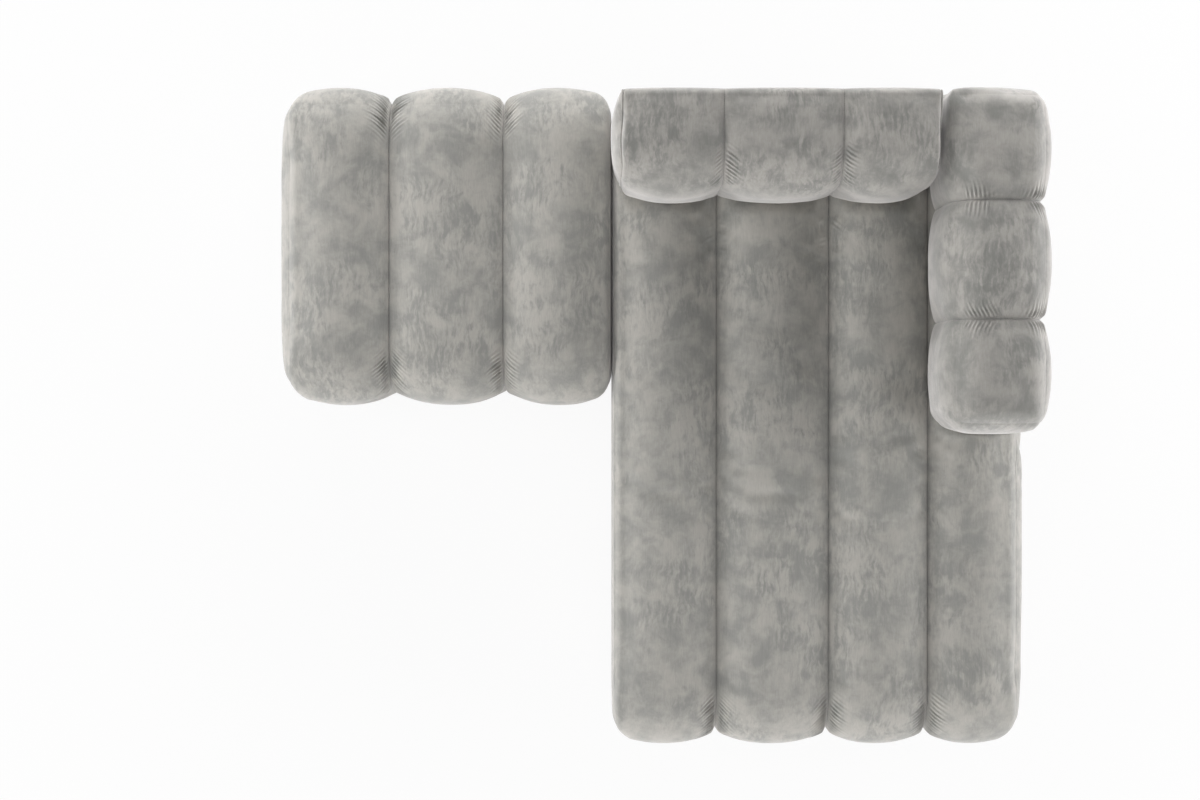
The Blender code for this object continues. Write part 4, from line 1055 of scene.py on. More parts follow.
# %% Pine and plywood
def make_pine(name, along):
    """Planed, unfinished pine: pale early wood, darker late wood in long lines, dry to the touch."""
    material, tree, shader = new_finish(name, {"Roughness": 0.62, "Specular IOR Level": 0.35})
    place = add_node(tree, "ShaderNodeTexCoord").outputs["Object"]
    # Growth rings about 5 mm apart and fibres about 0.8 mm wide, both drawn out along the rail
    drawn = [1.0, 1.0, 1.0]
    drawn[along] = 0.04
    lay = add_node(tree, "ShaderNodeMapping", {"Vector": place, "Scale": drawn})
    rings = add_node(tree, "ShaderNodeTexNoise", {
        "Vector": lay.outputs[0], "Scale": 1 / 0.020, "Detail": 2.0, "Distortion": 0.8})
    rings = add_node(tree, "ShaderNodeMath", {0: rings.outputs["Fac"], 1: 0.11}, operation="PINGPONG")
    late = add_node(tree, "ShaderNodeMapRange", {"Value": rings.outputs[0], "From Max": 0.11})
    fibres = add_node(tree, "ShaderNodeTexNoise", {
        "Vector": lay.outputs[0], "Scale": 1 / 0.0008, "Detail": 3.0})
    wood = add_node(tree, "ShaderNodeValToRGB", {"Fac": late.outputs[0]})
    wood.color_ramp.elements[0].color = linear("#B98A52")
    wood.color_ramp.elements[1].color = linear("#DDBE8E")
    wood.color_ramp.elements.new(0.25).color = linear("#D2AC77")
    colour = add_node(tree, "ShaderNodeMix", {
        "Factor": fibres.outputs["Fac"], FIRST_COLOUR: wood.outputs[0], SECOND_COLOUR: linear("#E3C89C")},
        data_type="RGBA", blend_type="MULTIPLY")
    tree.links.new(colour.outputs[MIXED_COLOUR], shader.inputs["Base Color"])
    planed = add_node(tree, "ShaderNodeBump", {
        "Height": fibres.outputs["Fac"], "Strength": 0.3, "Distance": 0.0004})
    tree.links.new(planed.outputs[0], shader.inputs["Normal"])
    return material


def make_plywood(name, through):
    """Sanded birch plywood: silky pale faces, striped edges where the plies cross."""
    material, tree, shader = new_finish(name, {"Roughness": 0.58, "Specular IOR Level": 0.35})
    place = add_node(tree, "ShaderNodeTexCoord").outputs["Object"]
    # Plies 1.4 mm thick make stripes through the board
    depth = add_node(tree, "ShaderNodeSeparateXYZ", {0: place}).outputs[through]
    plies = add_node(tree, "ShaderNodeMath", {0: depth, 1: 0.0014}, operation="PINGPONG")
    stripe = add_node(tree, "ShaderNodeMapRange", {
        "Value": plies.outputs[0], "From Min": 0.0005, "From Max": 0.0009}, interpolation_type="SMOOTHSTEP")
    # Grain of the face veneer, lines about 3 mm apart and 90 mm long
    drawn = [1.0, 1.0, 1.0]
    drawn[(through + 1) % 3] = 0.033
    lay = add_node(tree, "ShaderNodeMapping", {"Vector": place, "Scale": drawn})
    grain = add_node(tree, "ShaderNodeTexNoise", {
        "Vector": lay.outputs[0], "Scale": 1 / 0.003, "Detail": 4.0, "Distortion": 0.5})
    face = add_node(tree, "ShaderNodeMix", {
        "Factor": grain.outputs["Fac"], FIRST_COLOUR: linear("#B48F5C"), SECOND_COLOUR: linear("#D9BA8A")},
        data_type="RGBA")
    colour = add_node(tree, "ShaderNodeMix", {
        "Factor": stripe.outputs[0], FIRST_COLOUR: face.outputs[MIXED_COLOUR],
        SECOND_COLOUR: linear("#A67F4F")}, data_type="RGBA")
    tree.links.new(colour.outputs[MIXED_COLOUR], shader.inputs["Base Color"])
    sanded = add_node(tree, "ShaderNodeBump", {
        "Height": grain.outputs["Fac"], "Strength": 0.2, "Distance": 0.0003})
    tree.links.new(sanded.outputs[0], shader.inputs["Normal"])
    return material


PINE = [make_pine("planed_pine_across", 0), make_pine("planed_pine_lengthwise", 1)]
PLYWOOD = [make_plywood(f"birch_plywood_{axis}", number) for number, axis in enumerate("xyz")]
print("timber:", ", ".join(finish.name for finish in PINE + PLYWOOD))


# %% Metal and plastic
def make_metal(name, darker, lighter, scale, drawn, roughness):
    """Bare or plated steel: bright, with a pattern of crystals or drawn lines in its gloss."""
    material, tree, shader = new_finish(name, {"Metallic": 1.0})
    place = add_node(tree, "ShaderNodeTexCoord").outputs["Object"]
    lay = add_node(tree, "ShaderNodeMapping", {"Vector": place, "Scale": drawn})
    cells = add_node(tree, "ShaderNodeTexVoronoi", {
        "Vector": lay.outputs[0], "Scale": scale, "Randomness": 1.0})
    tone = add_node(tree, "ShaderNodeSeparateColor", {0: cells.outputs["Color"]}).outputs[0]
    haze = add_node(tree, "ShaderNodeTexNoise", {"Vector": place, "Scale": 1 / 0.030, "Detail": 4.0})
    tone = add_node(tree, "ShaderNodeMath", {0: tone, 1: haze.outputs["Fac"]}, operation="MULTIPLY")
    colour = add_node(tree, "ShaderNodeMix", {
        "Factor": tone.outputs[0], FIRST_COLOUR: linear(darker), SECOND_COLOUR: linear(lighter)},
        data_type="RGBA")
    tree.links.new(colour.outputs[MIXED_COLOUR], shader.inputs["Base Color"])
    gloss = add_node(tree, "ShaderNodeMapRange", {
        "Value": tone.outputs[0], "To Min": roughness[0], "To Max": roughness[1]})
    tree.links.new(gloss.outputs[0], shader.inputs["Roughness"])
    return material


def make_plastic():
    """Moulded polypropylene, black: an even fine grain from the mould, with a dull shine."""
    material, tree, shader = new_finish("moulded_black_polypropylene", {"Roughness": 0.5, "IOR": 1.49})
    place = add_node(tree, "ShaderNodeTexCoord").outputs["Object"]
    # Mould grain of about 0.8 mm
    grain = add_node(tree, "ShaderNodeTexNoise", {"Vector": place, "Scale": 1 / 0.0008, "Detail": 2.0})
    colour = add_node(tree, "ShaderNodeMix", {
        "Factor": grain.outputs["Fac"], FIRST_COLOUR: linear("#19191A"), SECOND_COLOUR: linear("#242425")},
        data_type="RGBA")
    tree.links.new(colour.outputs[MIXED_COLOUR], shader.inputs["Base Color"])
    eroded = add_node(tree, "ShaderNodeBump", {
        "Height": grain.outputs["Fac"], "Strength": 0.35, "Distance": 0.0002})
    tree.links.new(eroded.outputs[0], shader.inputs["Normal"])
    return material


# Zinc crystals about 6 mm across, drawn lines about 0.4 mm wide, and a blackened skin on the screws
ZINC = make_metal("zinc_plated_steel", "#8E9295", "#C9CCCE", 1 / 0.006, (1, 1, 1), (0.30, 0.48))
WIRE = make_metal("drawn_spring_wire", "#4B4C4E", "#77797C", 1 / 0.0004, (0.02, 1, 1), (0.30, 0.42))
BLACKED = make_metal("blackened_screw_steel", "#1F1F20", "#3A3A3C", 1 / 0.002, (1, 1, 1), (0.35, 0.50))
PLASTIC = make_plastic()

# %% Give the CAD nodes their finishes
# Axis through each board
BOARD_DEPTHS = {"back_base": 2, "arm_base": 2, "back_upright": 1, "arm_upright": 0,
                "back_gusset": 0, "arm_gusset": 1}
for node, solid in NODES.items():
    if node.endswith("_rail"):
        low, high = corners_of(node)
        finish = PINE[int(np.argmax((high - low)[:2]))]
    elif node.endswith(("_board", "_gusset")):
        finish = PLYWOOD[BOARD_DEPTHS["_".join(node.split("_")[:2])]]
    elif "_foot_" in node:
        finish = PLASTIC
    elif "_spring_" in node:
        finish = WIRE
    elif any(word in node for word in ("_fork_", "_bracket_", "_socket_", "_tongue_")):
        finish = ZINC
    else:
        continue
    solid.material_slots[0].material = finish
print("finishes on", sum(solid.material_slots[0].material in (*PINE, *PLYWOOD, PLASTIC, WIRE, ZINC)
                         for solid in NODES.values()), "nodes")

# %% Line the slots of the chaise
LINER_WALL, LINER_FLANGE = 0.0012, 0.007       # thickness of a sleeve and width of its flange
FLANGE_THICKNESS = 0.0020
FLANGE_PROUD = 0.0002          # of the cloth
LINER_EASE = 0.0006            # broken edge at the mouth
RIM_EASE = 0.0010, 0.0008      # the same at the flange's rim, inwards and downwards
LINER_GAP = 0.0001             # from the sleeve to the slot
LINER_FOOT = 0.001             # lower end, above the case's ceiling
LINER_BEND = 0.004             # rounding of its corners in plan
LINER_STRAIGHT = 0.0004        # left unrounded on each side of a narrow one
CORNER_STEPS, CORNER_TURN = 4, 30      # points on a corner and degrees between them


def rounded_ring(shape, low, high):
    """Level ring of points round a box with rounded corners."""
    bend = min(LINER_BEND, 0.5 * float(min(high[:2] - low[:2])) - LINER_STRAIGHT)
    ring = []
    for corner in range(4):
        right, far = corner in (1, 2), corner in (2, 3)
        x = (low, high)[right][0] - bend * (1 if right else -1)
        y = (low, high)[far][1] - bend * (1 if far else -1)
        for step in range(CORNER_STEPS):
            turn = math.radians(180 + 90 * corner + CORNER_TURN * step)
            ring.append(shape.verts.new((x + bend * math.cos(turn), y + bend * math.sin(turn), low[2])))
    return ring


def liner_mesh():
    """Sleeves with a flange at the top, one for each slot."""
    shape = bmesh.new()
    top, foot = seat_top + FLANGE_PROUD, case_top + LINER_FOOT
    mouth, rim, sleeve = SLOT_PLAY - LINER_WALL, SLOT_PLAY + LINER_FLANGE, SLOT_PLAY + LINER_GAP
    section = (
        (mouth, foot), (mouth, top - LINER_EASE), (mouth + LINER_EASE, top), (rim - RIM_EASE[0], top),
        (rim, top - RIM_EASE[1]), (rim, top - FLANGE_THICKNESS), (sleeve, top - FLANGE_THICKNESS),
        (sleeve, foot))
    for tongue in TONGUES:
        rings = [rounded_ring(shape, *slot_box(tongue, play, level, level)) for play, level in section]
        for ring, after in zip(rings, rings[1:] + rings[:1]):
            for one in range(len(ring)):
                two = (one + 1) % len(ring)
                shape.faces.new((ring[one], ring[two], after[two], after[one]))
    mesh = mesh_of(shape, "slot_liners")
    clean_up(mesh)
    return mesh


liners = new_piece("slot_liners", liner_mesh(), PLASTIC)
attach(liners, "chaise")
print("slot liners have", len(liners.data.polygons), "faces")

# %% [markdown]
# ## Foam and felt
#
# The covers are filled with foam, and a felt pad keeps the seat foam off the springs. Foam is cut from a
# block with a saw, so it has flat sides with softened edges, and pockets where steel or plywood goes through
# it. The blocks take their size from the CAD nodes and the pockets from the nodes inside them.


# %% Foam and felt finishes
def make_cut_foam(name, darker, lighter, cell, depth):
    """Sawn foam or pressed felt: small cells or fibres that swallow the light."""
    material, tree, shader = new_finish(name, {
        "Roughness": 0.95, "Specular IOR Level": 0.1, "Sheen Weight": 0.2})
    place = add_node(tree, "ShaderNodeTexCoord").outputs["Object"]
    cells = add_node(tree, "ShaderNodeTexVoronoi", {"Vector": place, "Scale": 1 / cell})
    clouds = add_node(tree, "ShaderNodeTexNoise", {"Vector": place, "Scale": 1 / 0.060, "Detail": 4.0})
    tone = add_node(tree, "ShaderNodeMath", {0: cells.outputs["Distance"], 1: clouds.outputs["Fac"]},
                    operation="ADD")
    colour = add_node(tree, "ShaderNodeMix", {
        "Factor": tone.outputs[0], FIRST_COLOUR: linear(lighter), SECOND_COLOUR: linear(darker)},
        data_type="RGBA")
    tree.links.new(colour.outputs[MIXED_COLOUR], shader.inputs["Base Color"])
    open_cells = add_node(tree, "ShaderNodeBump", {
        "Height": cells.outputs["Distance"], "Strength": 0.6, "Distance": depth})
    tree.links.new(open_cells.outputs[0], shader.inputs["Normal"])
    return material


# Cells of 1.5 mm in the foam, tufts of 3 mm in the felt
FOAM = make_cut_foam("open_cell_polyurethane_foam", "#CFC59B", "#EDE6C8", 0.0015, 0.0006)
FELT = make_cut_foam("pressed_wool_felt", "#55524D", "#8A867E", 0.0030, 0.0008)
FOAM_EDGE, FELT_EDGE = 0.008, 0.0015
FOAM_SHARP = 30                # sharpest bend, in degrees, that is shaded smooth
TUBE_PLAY = 0.0037             # from a tongue to the foam round its socket
HEAD_ROOM = 0.0050             # round a tongue and its screw heads
GUSSET_PLAY = 0.0006
POCKET_NEAR = 0.003            # a pocket this near to a side of the foam is cut through it
POCKET_OUT = 0.02              # how far such a cut runs past the foam


def soft_block(node, edge, pockets):
    """Block with softened edges and pockets in the place of a CAD node."""
    shape = bmesh.new()
    add_box(shape, *corners_of(node))
    bmesh.ops.bevel(shape, geom=list(shape.edges), offset=edge, segments=3, profile=0.5, affect="EDGES")
    mesh = mesh_of(shape, node)
    if pockets:
        mesh = cut_boxes(mesh, pockets)
    clean_up(mesh, FOAM_SHARP)
    return mesh


def pocket(inner, foam, play):
    """Box round a node, out through the sides of the foam that it reaches."""
    low, high = corners_of(inner)
    foam_low, foam_high = corners_of(foam)
    low, high = low - play, high + play
    return (np.where(low < foam_low + POCKET_NEAR, foam_low - POCKET_OUT, low),
            np.where(high > foam_high - POCKET_NEAR, foam_high + POCKET_OUT, high))


# %% Cut the foam and lay the felt
foam_low, foam_high = corners_of("chaise_foam")
POCKETS = {
    "chaise": [slot_box(tongue, TUBE_PLAY, foam_low[2] - POCKET_OUT, foam_high[2] + POCKET_OUT)
               for tongue in TONGUES],
    "pouf": []}
for name in ("back", "arm"):
    POCKETS[name] = [pocket(f"{name}_gusset", f"{name}_foam", GUSSET_PLAY)]
    POCKETS[name] += [pocket(tongue, f"{name}_foam", HEAD_ROOM)
                      for tongue in TONGUES if tongue.startswith(name)]
blocks = [(f"{name}_foam", FOAM, FOAM_EDGE, holes, 0.95, "foam") for name, holes in POCKETS.items()]
blocks += [(f"{name}_felt", FELT, FELT_EDGE, [], 0.3, "felt") for name in ("chaise", "pouf")]
for node, finish, edge, holes, fill, slot in blocks:
    block = new_piece(f"cut_{node}", soft_block(node, edge, holes), finish)
    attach(block, BODIES[node.split("_")[0]])
    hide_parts(node)
    print(block.name, "has", len(block.data.polygons), "faces")

# %% [markdown]
# ## Dust covers
#
# A black non-woven cloth closes each frame from below. It is pulled tight to the rails and stapled, so it
# hangs only a few millimetres low between them. A sheet is laid out as a grid with a hole for the stud of
# each foot, lowered by its distance from the nearest rail, and given its thickness by a modifier.


# %% Stretch the dust covers
def make_dust_cloth():
    """Spunbonded polypropylene cloth, black: dull, with a fine embossed dot and cloudy fibres."""
    material, tree, shader = new_finish("spunbonded_dust_cloth", {
        "Roughness": 0.85, "Specular IOR Level": 0.2})
    place = add_node(tree, "ShaderNodeTexCoord").outputs["Object"]
    # Embossed dots 2.5 mm apart
    dots = add_node(tree, "ShaderNodeTexVoronoi", {"Vector": place, "Scale": 1 / 0.0025, "Randomness": 0.15})
    fibres = add_node(tree, "ShaderNodeTexNoise", {"Vector": place, "Scale": 1 / 0.012, "Detail": 6.0})
    colour = add_node(tree, "ShaderNodeMix", {
        "Factor": fibres.outputs["Fac"], FIRST_COLOUR: linear("#141415"), SECOND_COLOUR: linear("#2B2B2C")},
        data_type="RGBA")
    tree.links.new(colour.outputs[MIXED_COLOUR], shader.inputs["Base Color"])
    embossed = add_node(tree, "ShaderNodeBump", {
        "Height": dots.outputs["Distance"], "Strength": 0.5, "Distance": 0.0004})
    tree.links.new(embossed.outputs[0], shader.inputs["Normal"])
    return material


DUST_CLOTH = make_dust_cloth()
SAG, SAG_RUN = 0.006, 0.140    # how low the cloth hangs, and how far from a rail
STUD_HOLE = 0.0058             # half the width of a stud hole
CLOTH_STEP = 0.016


def feet_of(name):
    """Middles of a module's feet in plan."""
    return [sum(corners_of(node))[:2] / 2 for node in NODES if node.startswith(f"{name}_foot_")]


def rails_of(name):
    """Nodes of a module's rails."""
    return [node for node in NODES if node.startswith(f"{name}_") and node.endswith("_rail")]


def dust_cover_mesh(name):
    """Stretched sheet with stud holes."""
    low, high = corners_of(f"{name}_dust_cover")
    feet = feet_of(name)
    lines = []
    for axis in (0, 1):
        marks = sorted({round(float(foot[axis]) + side, 6)
                        for foot in feet for side in (-STUD_HOLE, STUD_HOLE)})
        lines.append(stations((low[axis], *marks, high[axis]), lambda line: np.full(len(line), CLOTH_STEP)))
    one, two = np.meshgrid(*lines, indexing="ij")
    gap = np.full(one.shape, FAR)
    for rail in rails_of(name):
        rail_low, rail_high = corners_of(rail)
        aside = [np.maximum(0.0, np.maximum(rail_low[axis] - grid, grid - rail_high[axis]))
                 for axis, grid in enumerate((one, two))]
        gap = np.minimum(gap, np.hypot(*aside))
    points = np.stack([one, two, low[2] - SAG * smooth(gap / SAG_RUN)], axis=-1).reshape(-1, 3)
    number = np.arange(one.size).reshape(one.shape)
    quads = np.stack([part.ravel() for part in (
        number[:-1, :-1], number[1:, :-1], number[1:, 1:], number[:-1, 1:])], axis=1)
    middles = points[quads].mean(axis=1)[:, :2]
    for foot in feet:
        outside = np.max(np.abs(middles - foot), axis=1) > STUD_HOLE
        quads, middles = quads[outside], middles[outside]
    flat_mesh = plain_mesh(f"{name}_sheet", points, quads.tolist())
    carrier = add_object(flat_mesh.name, flat_mesh)
    thick = carrier.modifiers.new("Thickness", "SOLIDIFY")
    thick.thickness, thick.offset = high[2] - low[2], 1.0
    mesh = evaluated_mesh(carrier)
    bpy.data.meshes.remove(flat_mesh)
    clean_up(mesh)
    return mesh, (high - low)[:2]


for name in ("chaise", "pouf"):
    mesh, flat = dust_cover_mesh(name)
    sheet = new_piece(f"{name}_dust_cloth", mesh, DUST_CLOTH)
    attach(sheet, name)
    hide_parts(f"{name}_dust_cover")
    print(name, "dust cover cut to", np.round(flat * 1000), "mm")

# %% [markdown]
# ## Staples, screws and spring clips
#
# Staples hold the dust covers to the rails, screws hold the plates, sockets and tongues, and a bent strap
# holds each end of a spring. Each kind is one small shape of a few dozen faces. The staples follow paths
# under the rails that leave out the feet and the plates, and the others stand on single points taken
# from the nodes that they hold.

# %% Shapes of the fasteners
STAPLE_CROWN, STAPLE_LEG, STAPLE_WIRE = 0.010, 0.006, 0.0007
STAPLE_BENDS = 0.0006, 0.0009  # outside and inside of its corners
SCREW_SIDES = 12
SCREW_HEAD = [(0.0046, 0.0), (0.0046, 0.0012), (0.0040, 0.0023), (0.0030, 0.0028)]     # radius and level
SCREW_KEY, SCREW_FLOOR = 0.0022, 0.0012        # half width of the key's socket, and level of its floor
CLIP_HALF = 0.007              # half width of the strap
# One side of the strap's section, outside and inside, from its end to the middle
CLIP_OUTER = [(0.0110, 0.0005), (0.0040, 0.0005), (0.0027, 0.0016), (0.0021, 0.0034), (0.0010, 0.0042)]
CLIP_INNER = [(0.0110, 0.0001), (0.0036, 0.0001), (0.0023, 0.0014), (0.0018, 0.0031), (0.0009, 0.0039)]


def strap_shape(name, outer, inner, half, crosswise):
    """Bent strap, the same on both sides. Its section lies along X, or crosswise along Y."""
    section = [pair for line in (outer, inner)
               for pair in [(-reach, level) for reach, level in line] + line[::-1]]
    vertices = [(width, reach, level) if crosswise else (reach, width, level)
                for width in (-half, half) for reach, level in section]
    count = len(section) // 2
    faces = []
    for one in range(count - 1):
        two = one + 1
        faces += [(one, two, 2 * count + two, 2 * count + one),
                  (count + two, count + one, 3 * count + one, 3 * count + two),
                  (two, one, count + one, count + two),
                  (2 * count + one, 2 * count + two, 3 * count + two, 3 * count + one)]
    faces += [(0, 2 * count, 3 * count, count), (count - 1, 2 * count - 1, 4 * count - 1, 3 * count - 1)]
    return shape_object(name, vertices, faces)


def staple_shape():
    """Staple of flat wire, its crown on top and its legs down."""
    half, wire, foot = STAPLE_CROWN / 2, STAPLE_WIRE, STAPLE_WIRE - STAPLE_LEG
    outside, inside = STAPLE_BENDS
    outer = [(half, foot), (half, wire - outside), (half - outside, wire)]
    inner = [(half - wire, foot), (half - wire, wire - inside), (half - inside, 0.0)]
    return strap_shape("staple", outer, inner, wire / 2, False)


def screw_shape():
    """Low round screw head with a six-sided socket."""
    turns = [2 * math.pi * side / SCREW_SIDES for side in range(SCREW_SIDES)]
    key = [SCREW_KEY * (math.cos(math.pi / 6) if side % 2 else 1.0) for side in range(SCREW_SIDES)]
    rings = [([radius] * SCREW_SIDES, level) for radius, level in SCREW_HEAD]
    rings += [(key, SCREW_HEAD[-1][1]), (key, SCREW_FLOOR)]
    vertices = [(reach * math.cos(turn), reach * math.sin(turn), level)
                for reaches, level in rings for reach, turn in zip(reaches, turns)]
    faces = ring_faces(len(rings), SCREW_SIDES)
    faces += [tuple(range(len(vertices) - SCREW_SIDES, len(vertices))), tuple(reversed(range(SCREW_SIDES)))]
    return shape_object("screw_head", vertices, faces)


# %% Staples round the dust covers
STAPLE_PITCH = 0.040
STAPLE_INSET, STAPLE_ENDS = 0.012, 0.02        # from the cloth's edge, and from the ends of a row
FOOT_CLEAR, PLATE_CLEAR = 0.035, 0.008
STAPLE_SAMPLE, SHORTEST_RUN = 0.005, 4         # step of the path, and steps of a run that is left out


def staple_runs(name):
    """Paths under the rails, broken at the feet and the plates."""
    low, high = corners_of(f"{name}_dust_cover")
    plates = [corners_of(node) for node in NODES if "_fork_" in node or "_bracket_" in node]
    ends = [low[:2] + STAPLE_INSET, high[:2] - STAPLE_INSET]
    runs = []
    for axis in (0, 1):
        for side in ends:
            line = np.arange(ends[0][axis] + STAPLE_ENDS, ends[1][axis] - STAPLE_ENDS, STAPLE_SAMPLE)
            place = np.zeros((len(line), 3))
            place[:, axis], place[:, 1 - axis], place[:, 2] = line, side[1 - axis], low[2]
            plan = place[:, :2]
            from_feet = [np.linalg.norm(plan - foot, axis=1) for foot in feet_of(name)]
            clear = np.min(from_feet, axis=0) > FOOT_CLEAR
            for first, last in plates:
                inside = (plan > first[:2] - PLATE_CLEAR) & (plan < last[:2] + PLATE_CLEAR)
                clear &= ~np.all(inside, axis=1)
            breaks = np.flatnonzero(np.diff(np.concatenate([[0], clear.astype(int), [0]])))
            for start, stop in zip(breaks[::2], breaks[1::2]):
                if stop - start > SHORTEST_RUN:
                    runs.append((place[start:stop], np.tile((0.0, 0.0, -1.0), (stop - start, 1))))
    return runs


staple = staple_shape()
for name in ("chaise", "pouf"):
    add_small(f"{name}_staples", ROW_TREE, marked_mesh(staple_runs(name)), {
        "Shape": staple, "Pitch": STAPLE_PITCH, "Finish": ZINC}, name)
bpy.data.objects.remove(staple)

# %% Screws in the plates, the sockets and the tongues
RAIL_MIDDLE = 0.014            # from the frame's side to the middle of a rail
PLATE_SCREWS = 0.015           # either side of a plate's middle
SOCKET_SCREWS = 0.034          # either side of a socket's middle
TONGUE_SCREWS = (0.17875, 0.24625)     # up from a tongue's lower end
PLATE = 0.003                  # thickness of the plates and of the sockets' flanges

screws = {body: [] for body in BODIES.values()}
for node in NODES:
    low, high = corners_of(node)
    middle = (low + high) / 2
    if "_fork_" in node or "_bracket_" in node:
        x = high[0] - RAIL_MIDDLE if "_fork_" in node else low[0] + RAIL_MIDDLE
        body = "chaise" if "_fork_" in node else "pouf"
        screws[body] += [((x, middle[1] + side, high[2] - PLATE), (0, 0, -1))
                         for side in (-PLATE_SCREWS, PLATE_SCREWS)]
    elif "_socket_" in node:
        run = int(high[1] - low[1] > high[0] - low[0])
        for side in (-SOCKET_SCREWS, SOCKET_SCREWS):
            place = np.array([middle[0], middle[1], low[2] + PLATE])
            place[run] += side
            screws["chaise"].append((tuple(place), (0, 0, 1)))
    elif "_tongue_" in node:
        body = "backrest" if node.startswith("back") else "armrest"
        for level in TONGUE_SCREWS:
            if body == "backrest":
                screws[body].append(((middle[0], low[1], low[2] + level), (0, -1, 0)))
            else:
                screws[body].append(((low[0], middle[1], low[2] + level), (-1, 0, 0)))

screw = screw_shape()
for body, marks in screws.items():
    places, facings = (np.array(part, dtype=float) for part in zip(*marks))
    turns = np.where(np.abs(facings[:, 2:]) > 0.5, (1.0, 0.0, 0.0), (0.0, 0.0, 1.0))
    add_small(f"{body}_screws", POINT_TREE, marked_mesh([(places, facings)], turns), {
        "Shape": screw, "Finish": BLACKED}, body)
bpy.data.objects.remove(screw)

# %% Clips over the spring ends
CLIP_INSET = 0.004
clip = strap_shape("spring_clip", CLIP_OUTER, CLIP_INNER, CLIP_HALF, True)
for name in ("chaise", "pouf"):
    rail_top = corners_of(f"{name}_left_rail")[1][2]
    places = []
    for node in NODES:
        if node.startswith(f"{name}_spring_"):
            low, high = corners_of(node)
            places += [(x, (low[1] + high[1]) / 2, rail_top)
                       for x in (low[0] + CLIP_INSET, high[0] - CLIP_INSET)]
    up, across = (np.tile(way, (len(places), 1)) for way in ((0.0, 0.0, 1.0), (1.0, 0.0, 0.0)))
    add_small(f"{name}_spring_clips", POINT_TREE, marked_mesh([(np.array(places), up)], across), {
        "Shape": clip, "Finish": ZINC}, name)
bpy.data.objects.remove(clip)

# %% [markdown]
# ## Floor, light and camera
#
# The lounge was shot straight down on white. Soft boxes stand low all round it, so that the flanks of the
# channels come out paler than their tops, and a weak one hangs above. The floor and the surround show
# nearly white to the camera, and the floor still takes a soft shadow of the lounge.

# %% Floor, surround and soft boxes
def seen_directly(tree):
    """One for what the camera sees, also in gloss or through glass, and zero for light on things."""
    ray = add_node(tree, "ShaderNodeLightPath").outputs
    gloss = add_node(tree, "ShaderNodeMath", {0: ray["Is Glossy Ray"], 1: ray["Is Transmission Ray"]},
                     operation="MAXIMUM")
    return add_node(tree, "ShaderNodeMath", {0: ray["Is Camera Ray"], 1: gloss.outputs[0]},
                    operation="MAXIMUM").outputs[0]


FLOOR = 12.0                   # half its width
FLOOR_WHITE, SURROUND_WHITE = 0.92, 0.97       # how white they are to the camera
LOW_GLOW, EVEN_GLOW = 0.26, 0.085              # light of the surround, near the floor and all over
floor_mesh = plain_mesh("studio_floor", [
    (-FLOOR, -FLOOR, 0), (FLOOR, -FLOOR, 0), (FLOOR, FLOOR, 0), (-FLOOR, FLOOR, 0)], [(0, 1, 2, 3)])
floor_finish, floor_tree, floor_shader = new_finish("painted_studio_floor", {
    "Base Color": linear("#E6E6E6"), "Roughness": 0.9, "Specular IOR Level": 0.1})
shown = seen_directly(floor_tree)
white = add_node(floor_tree, "ShaderNodeEmission", {"Color": linear("#FFFFFF"), "Strength": 1.0})
part_white = add_node(floor_tree, "ShaderNodeMath", {0: shown, 1: FLOOR_WHITE}, operation="MULTIPLY")
blend = add_node(floor_tree, "ShaderNodeMixShader", {
    0: part_white.outputs[0], 1: floor_shader.outputs[0], 2: white.outputs[0]})
floor_tree.links.new(blend.outputs[0], floor_tree.nodes["Material Output"].inputs["Surface"])
new_piece("studio_floor", floor_mesh, floor_finish)

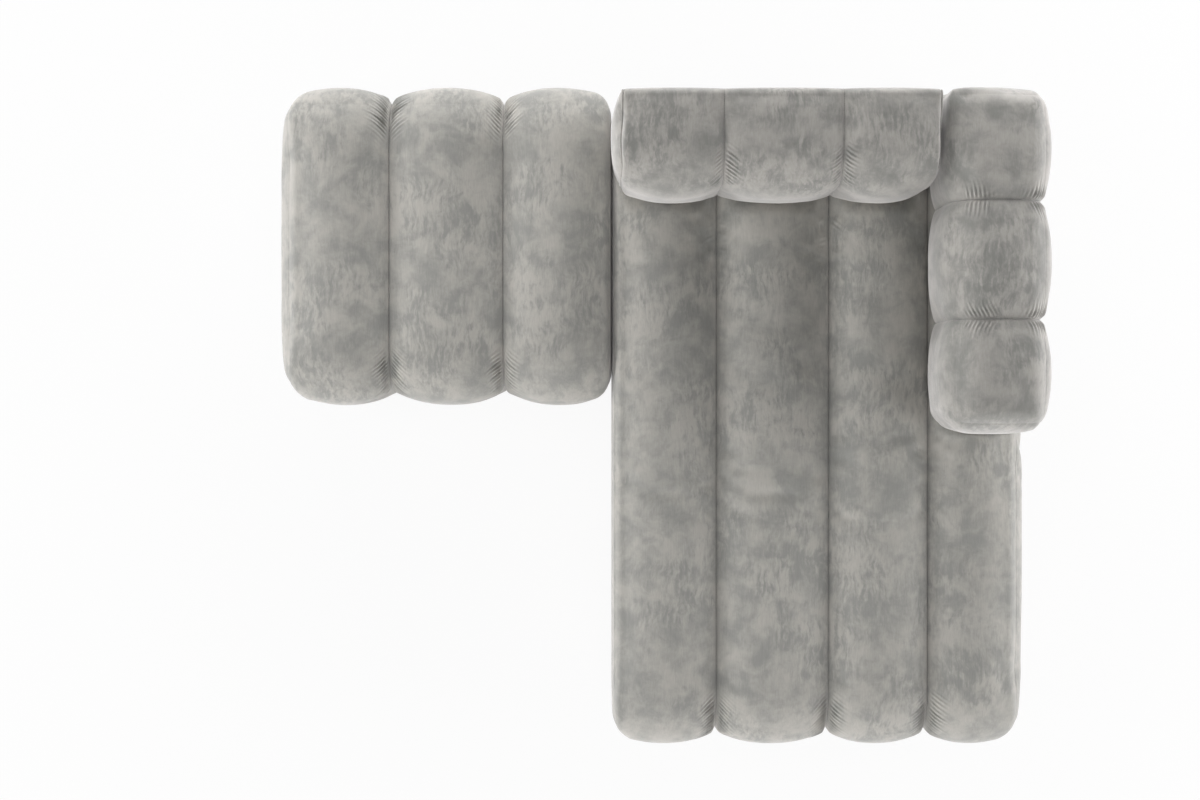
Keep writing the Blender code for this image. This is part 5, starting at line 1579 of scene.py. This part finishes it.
world = bpy.data.worlds.new("studio_surround")
bpy.context.scene.world = world
world.use_nodes = True
surround = world.node_tree
sky = add_node(surround, "ShaderNodeTexCoord").outputs["Generated"]
lift = add_node(surround, "ShaderNodeSeparateXYZ", {0: sky}).outputs["Z"]
low_sky = add_node(surround, "ShaderNodeMath", {0: 1.0, 1: lift}, operation="SUBTRACT", use_clamp=True)
low_sky = add_node(surround, "ShaderNodeMath", {0: low_sky.outputs[0], 1: 2.0}, operation="POWER")
glow = add_node(surround, "ShaderNodeMath", {0: low_sky.outputs[0], 1: LOW_GLOW, 2: EVEN_GLOW},
                operation="MULTIPLY_ADD")
strength = add_node(surround, "ShaderNodeMix", {
    "Factor": seen_directly(surround), 2: glow.outputs[0], 3: SURROUND_WHITE})
surround.links.new(strength.outputs[0], surround.nodes["Background"].inputs["Strength"])
surround.nodes["Background"].inputs["Color"].default_value = linear("#FFFFFF")

# Place, turn towards the lounge in degrees, size and watts
SOFT_BOXES = {
    "left": ((-7.0, -0.3, 2.2), (0.0, -76.0, 0.0), (2.6, 6.0), 430.0),
    "right": ((3.8, 0.0, 1.1), (0.0, 80.0, 0.0), (1.4, 4.0), 100.0),
    "front": ((0.0, -7.5, 2.2), (78.0, 0.0, 0.0), (6.0, 2.4), 420.0),
    "rear": ((0.0, 4.8, 1.5), (-78.0, 0.0, 0.0), (5.0, 2.0), 235.0),
    "over": ((0.0, 0.3, 6.2), (0.0, 0.0, 0.0), (5.0, 4.0), 55.0),
}
for side, (location, turn, size, watts) in SOFT_BOXES.items():
    soft_box = bpy.data.lights.new(f"soft_box_{side}", "AREA")
    soft_box.shape, soft_box.energy = "RECTANGLE", watts
    soft_box.size, soft_box.size_y = size
    lamp = add_object(soft_box.name, soft_box)
    lamp.location = location
    lamp.rotation_euler = [math.radians(angle) for angle in turn]
    lamp.visible_camera = False
print("lit by", len(SOFT_BOXES), "soft boxes")

# %% Camera straight above
camera = bpy.data.cameras.new("plan_camera")
camera.lens, camera.sensor_width = 50.0, 36.0
plan_camera = add_object("plan_camera", camera)
plan_camera.location = (-0.147, 0.0425, 5.00)
bpy.context.scene.camera = plan_camera
bpy.context.scene.view_settings.view_transform = "Standard"

# %% Update the scene
bpy.context.view_layer.update()
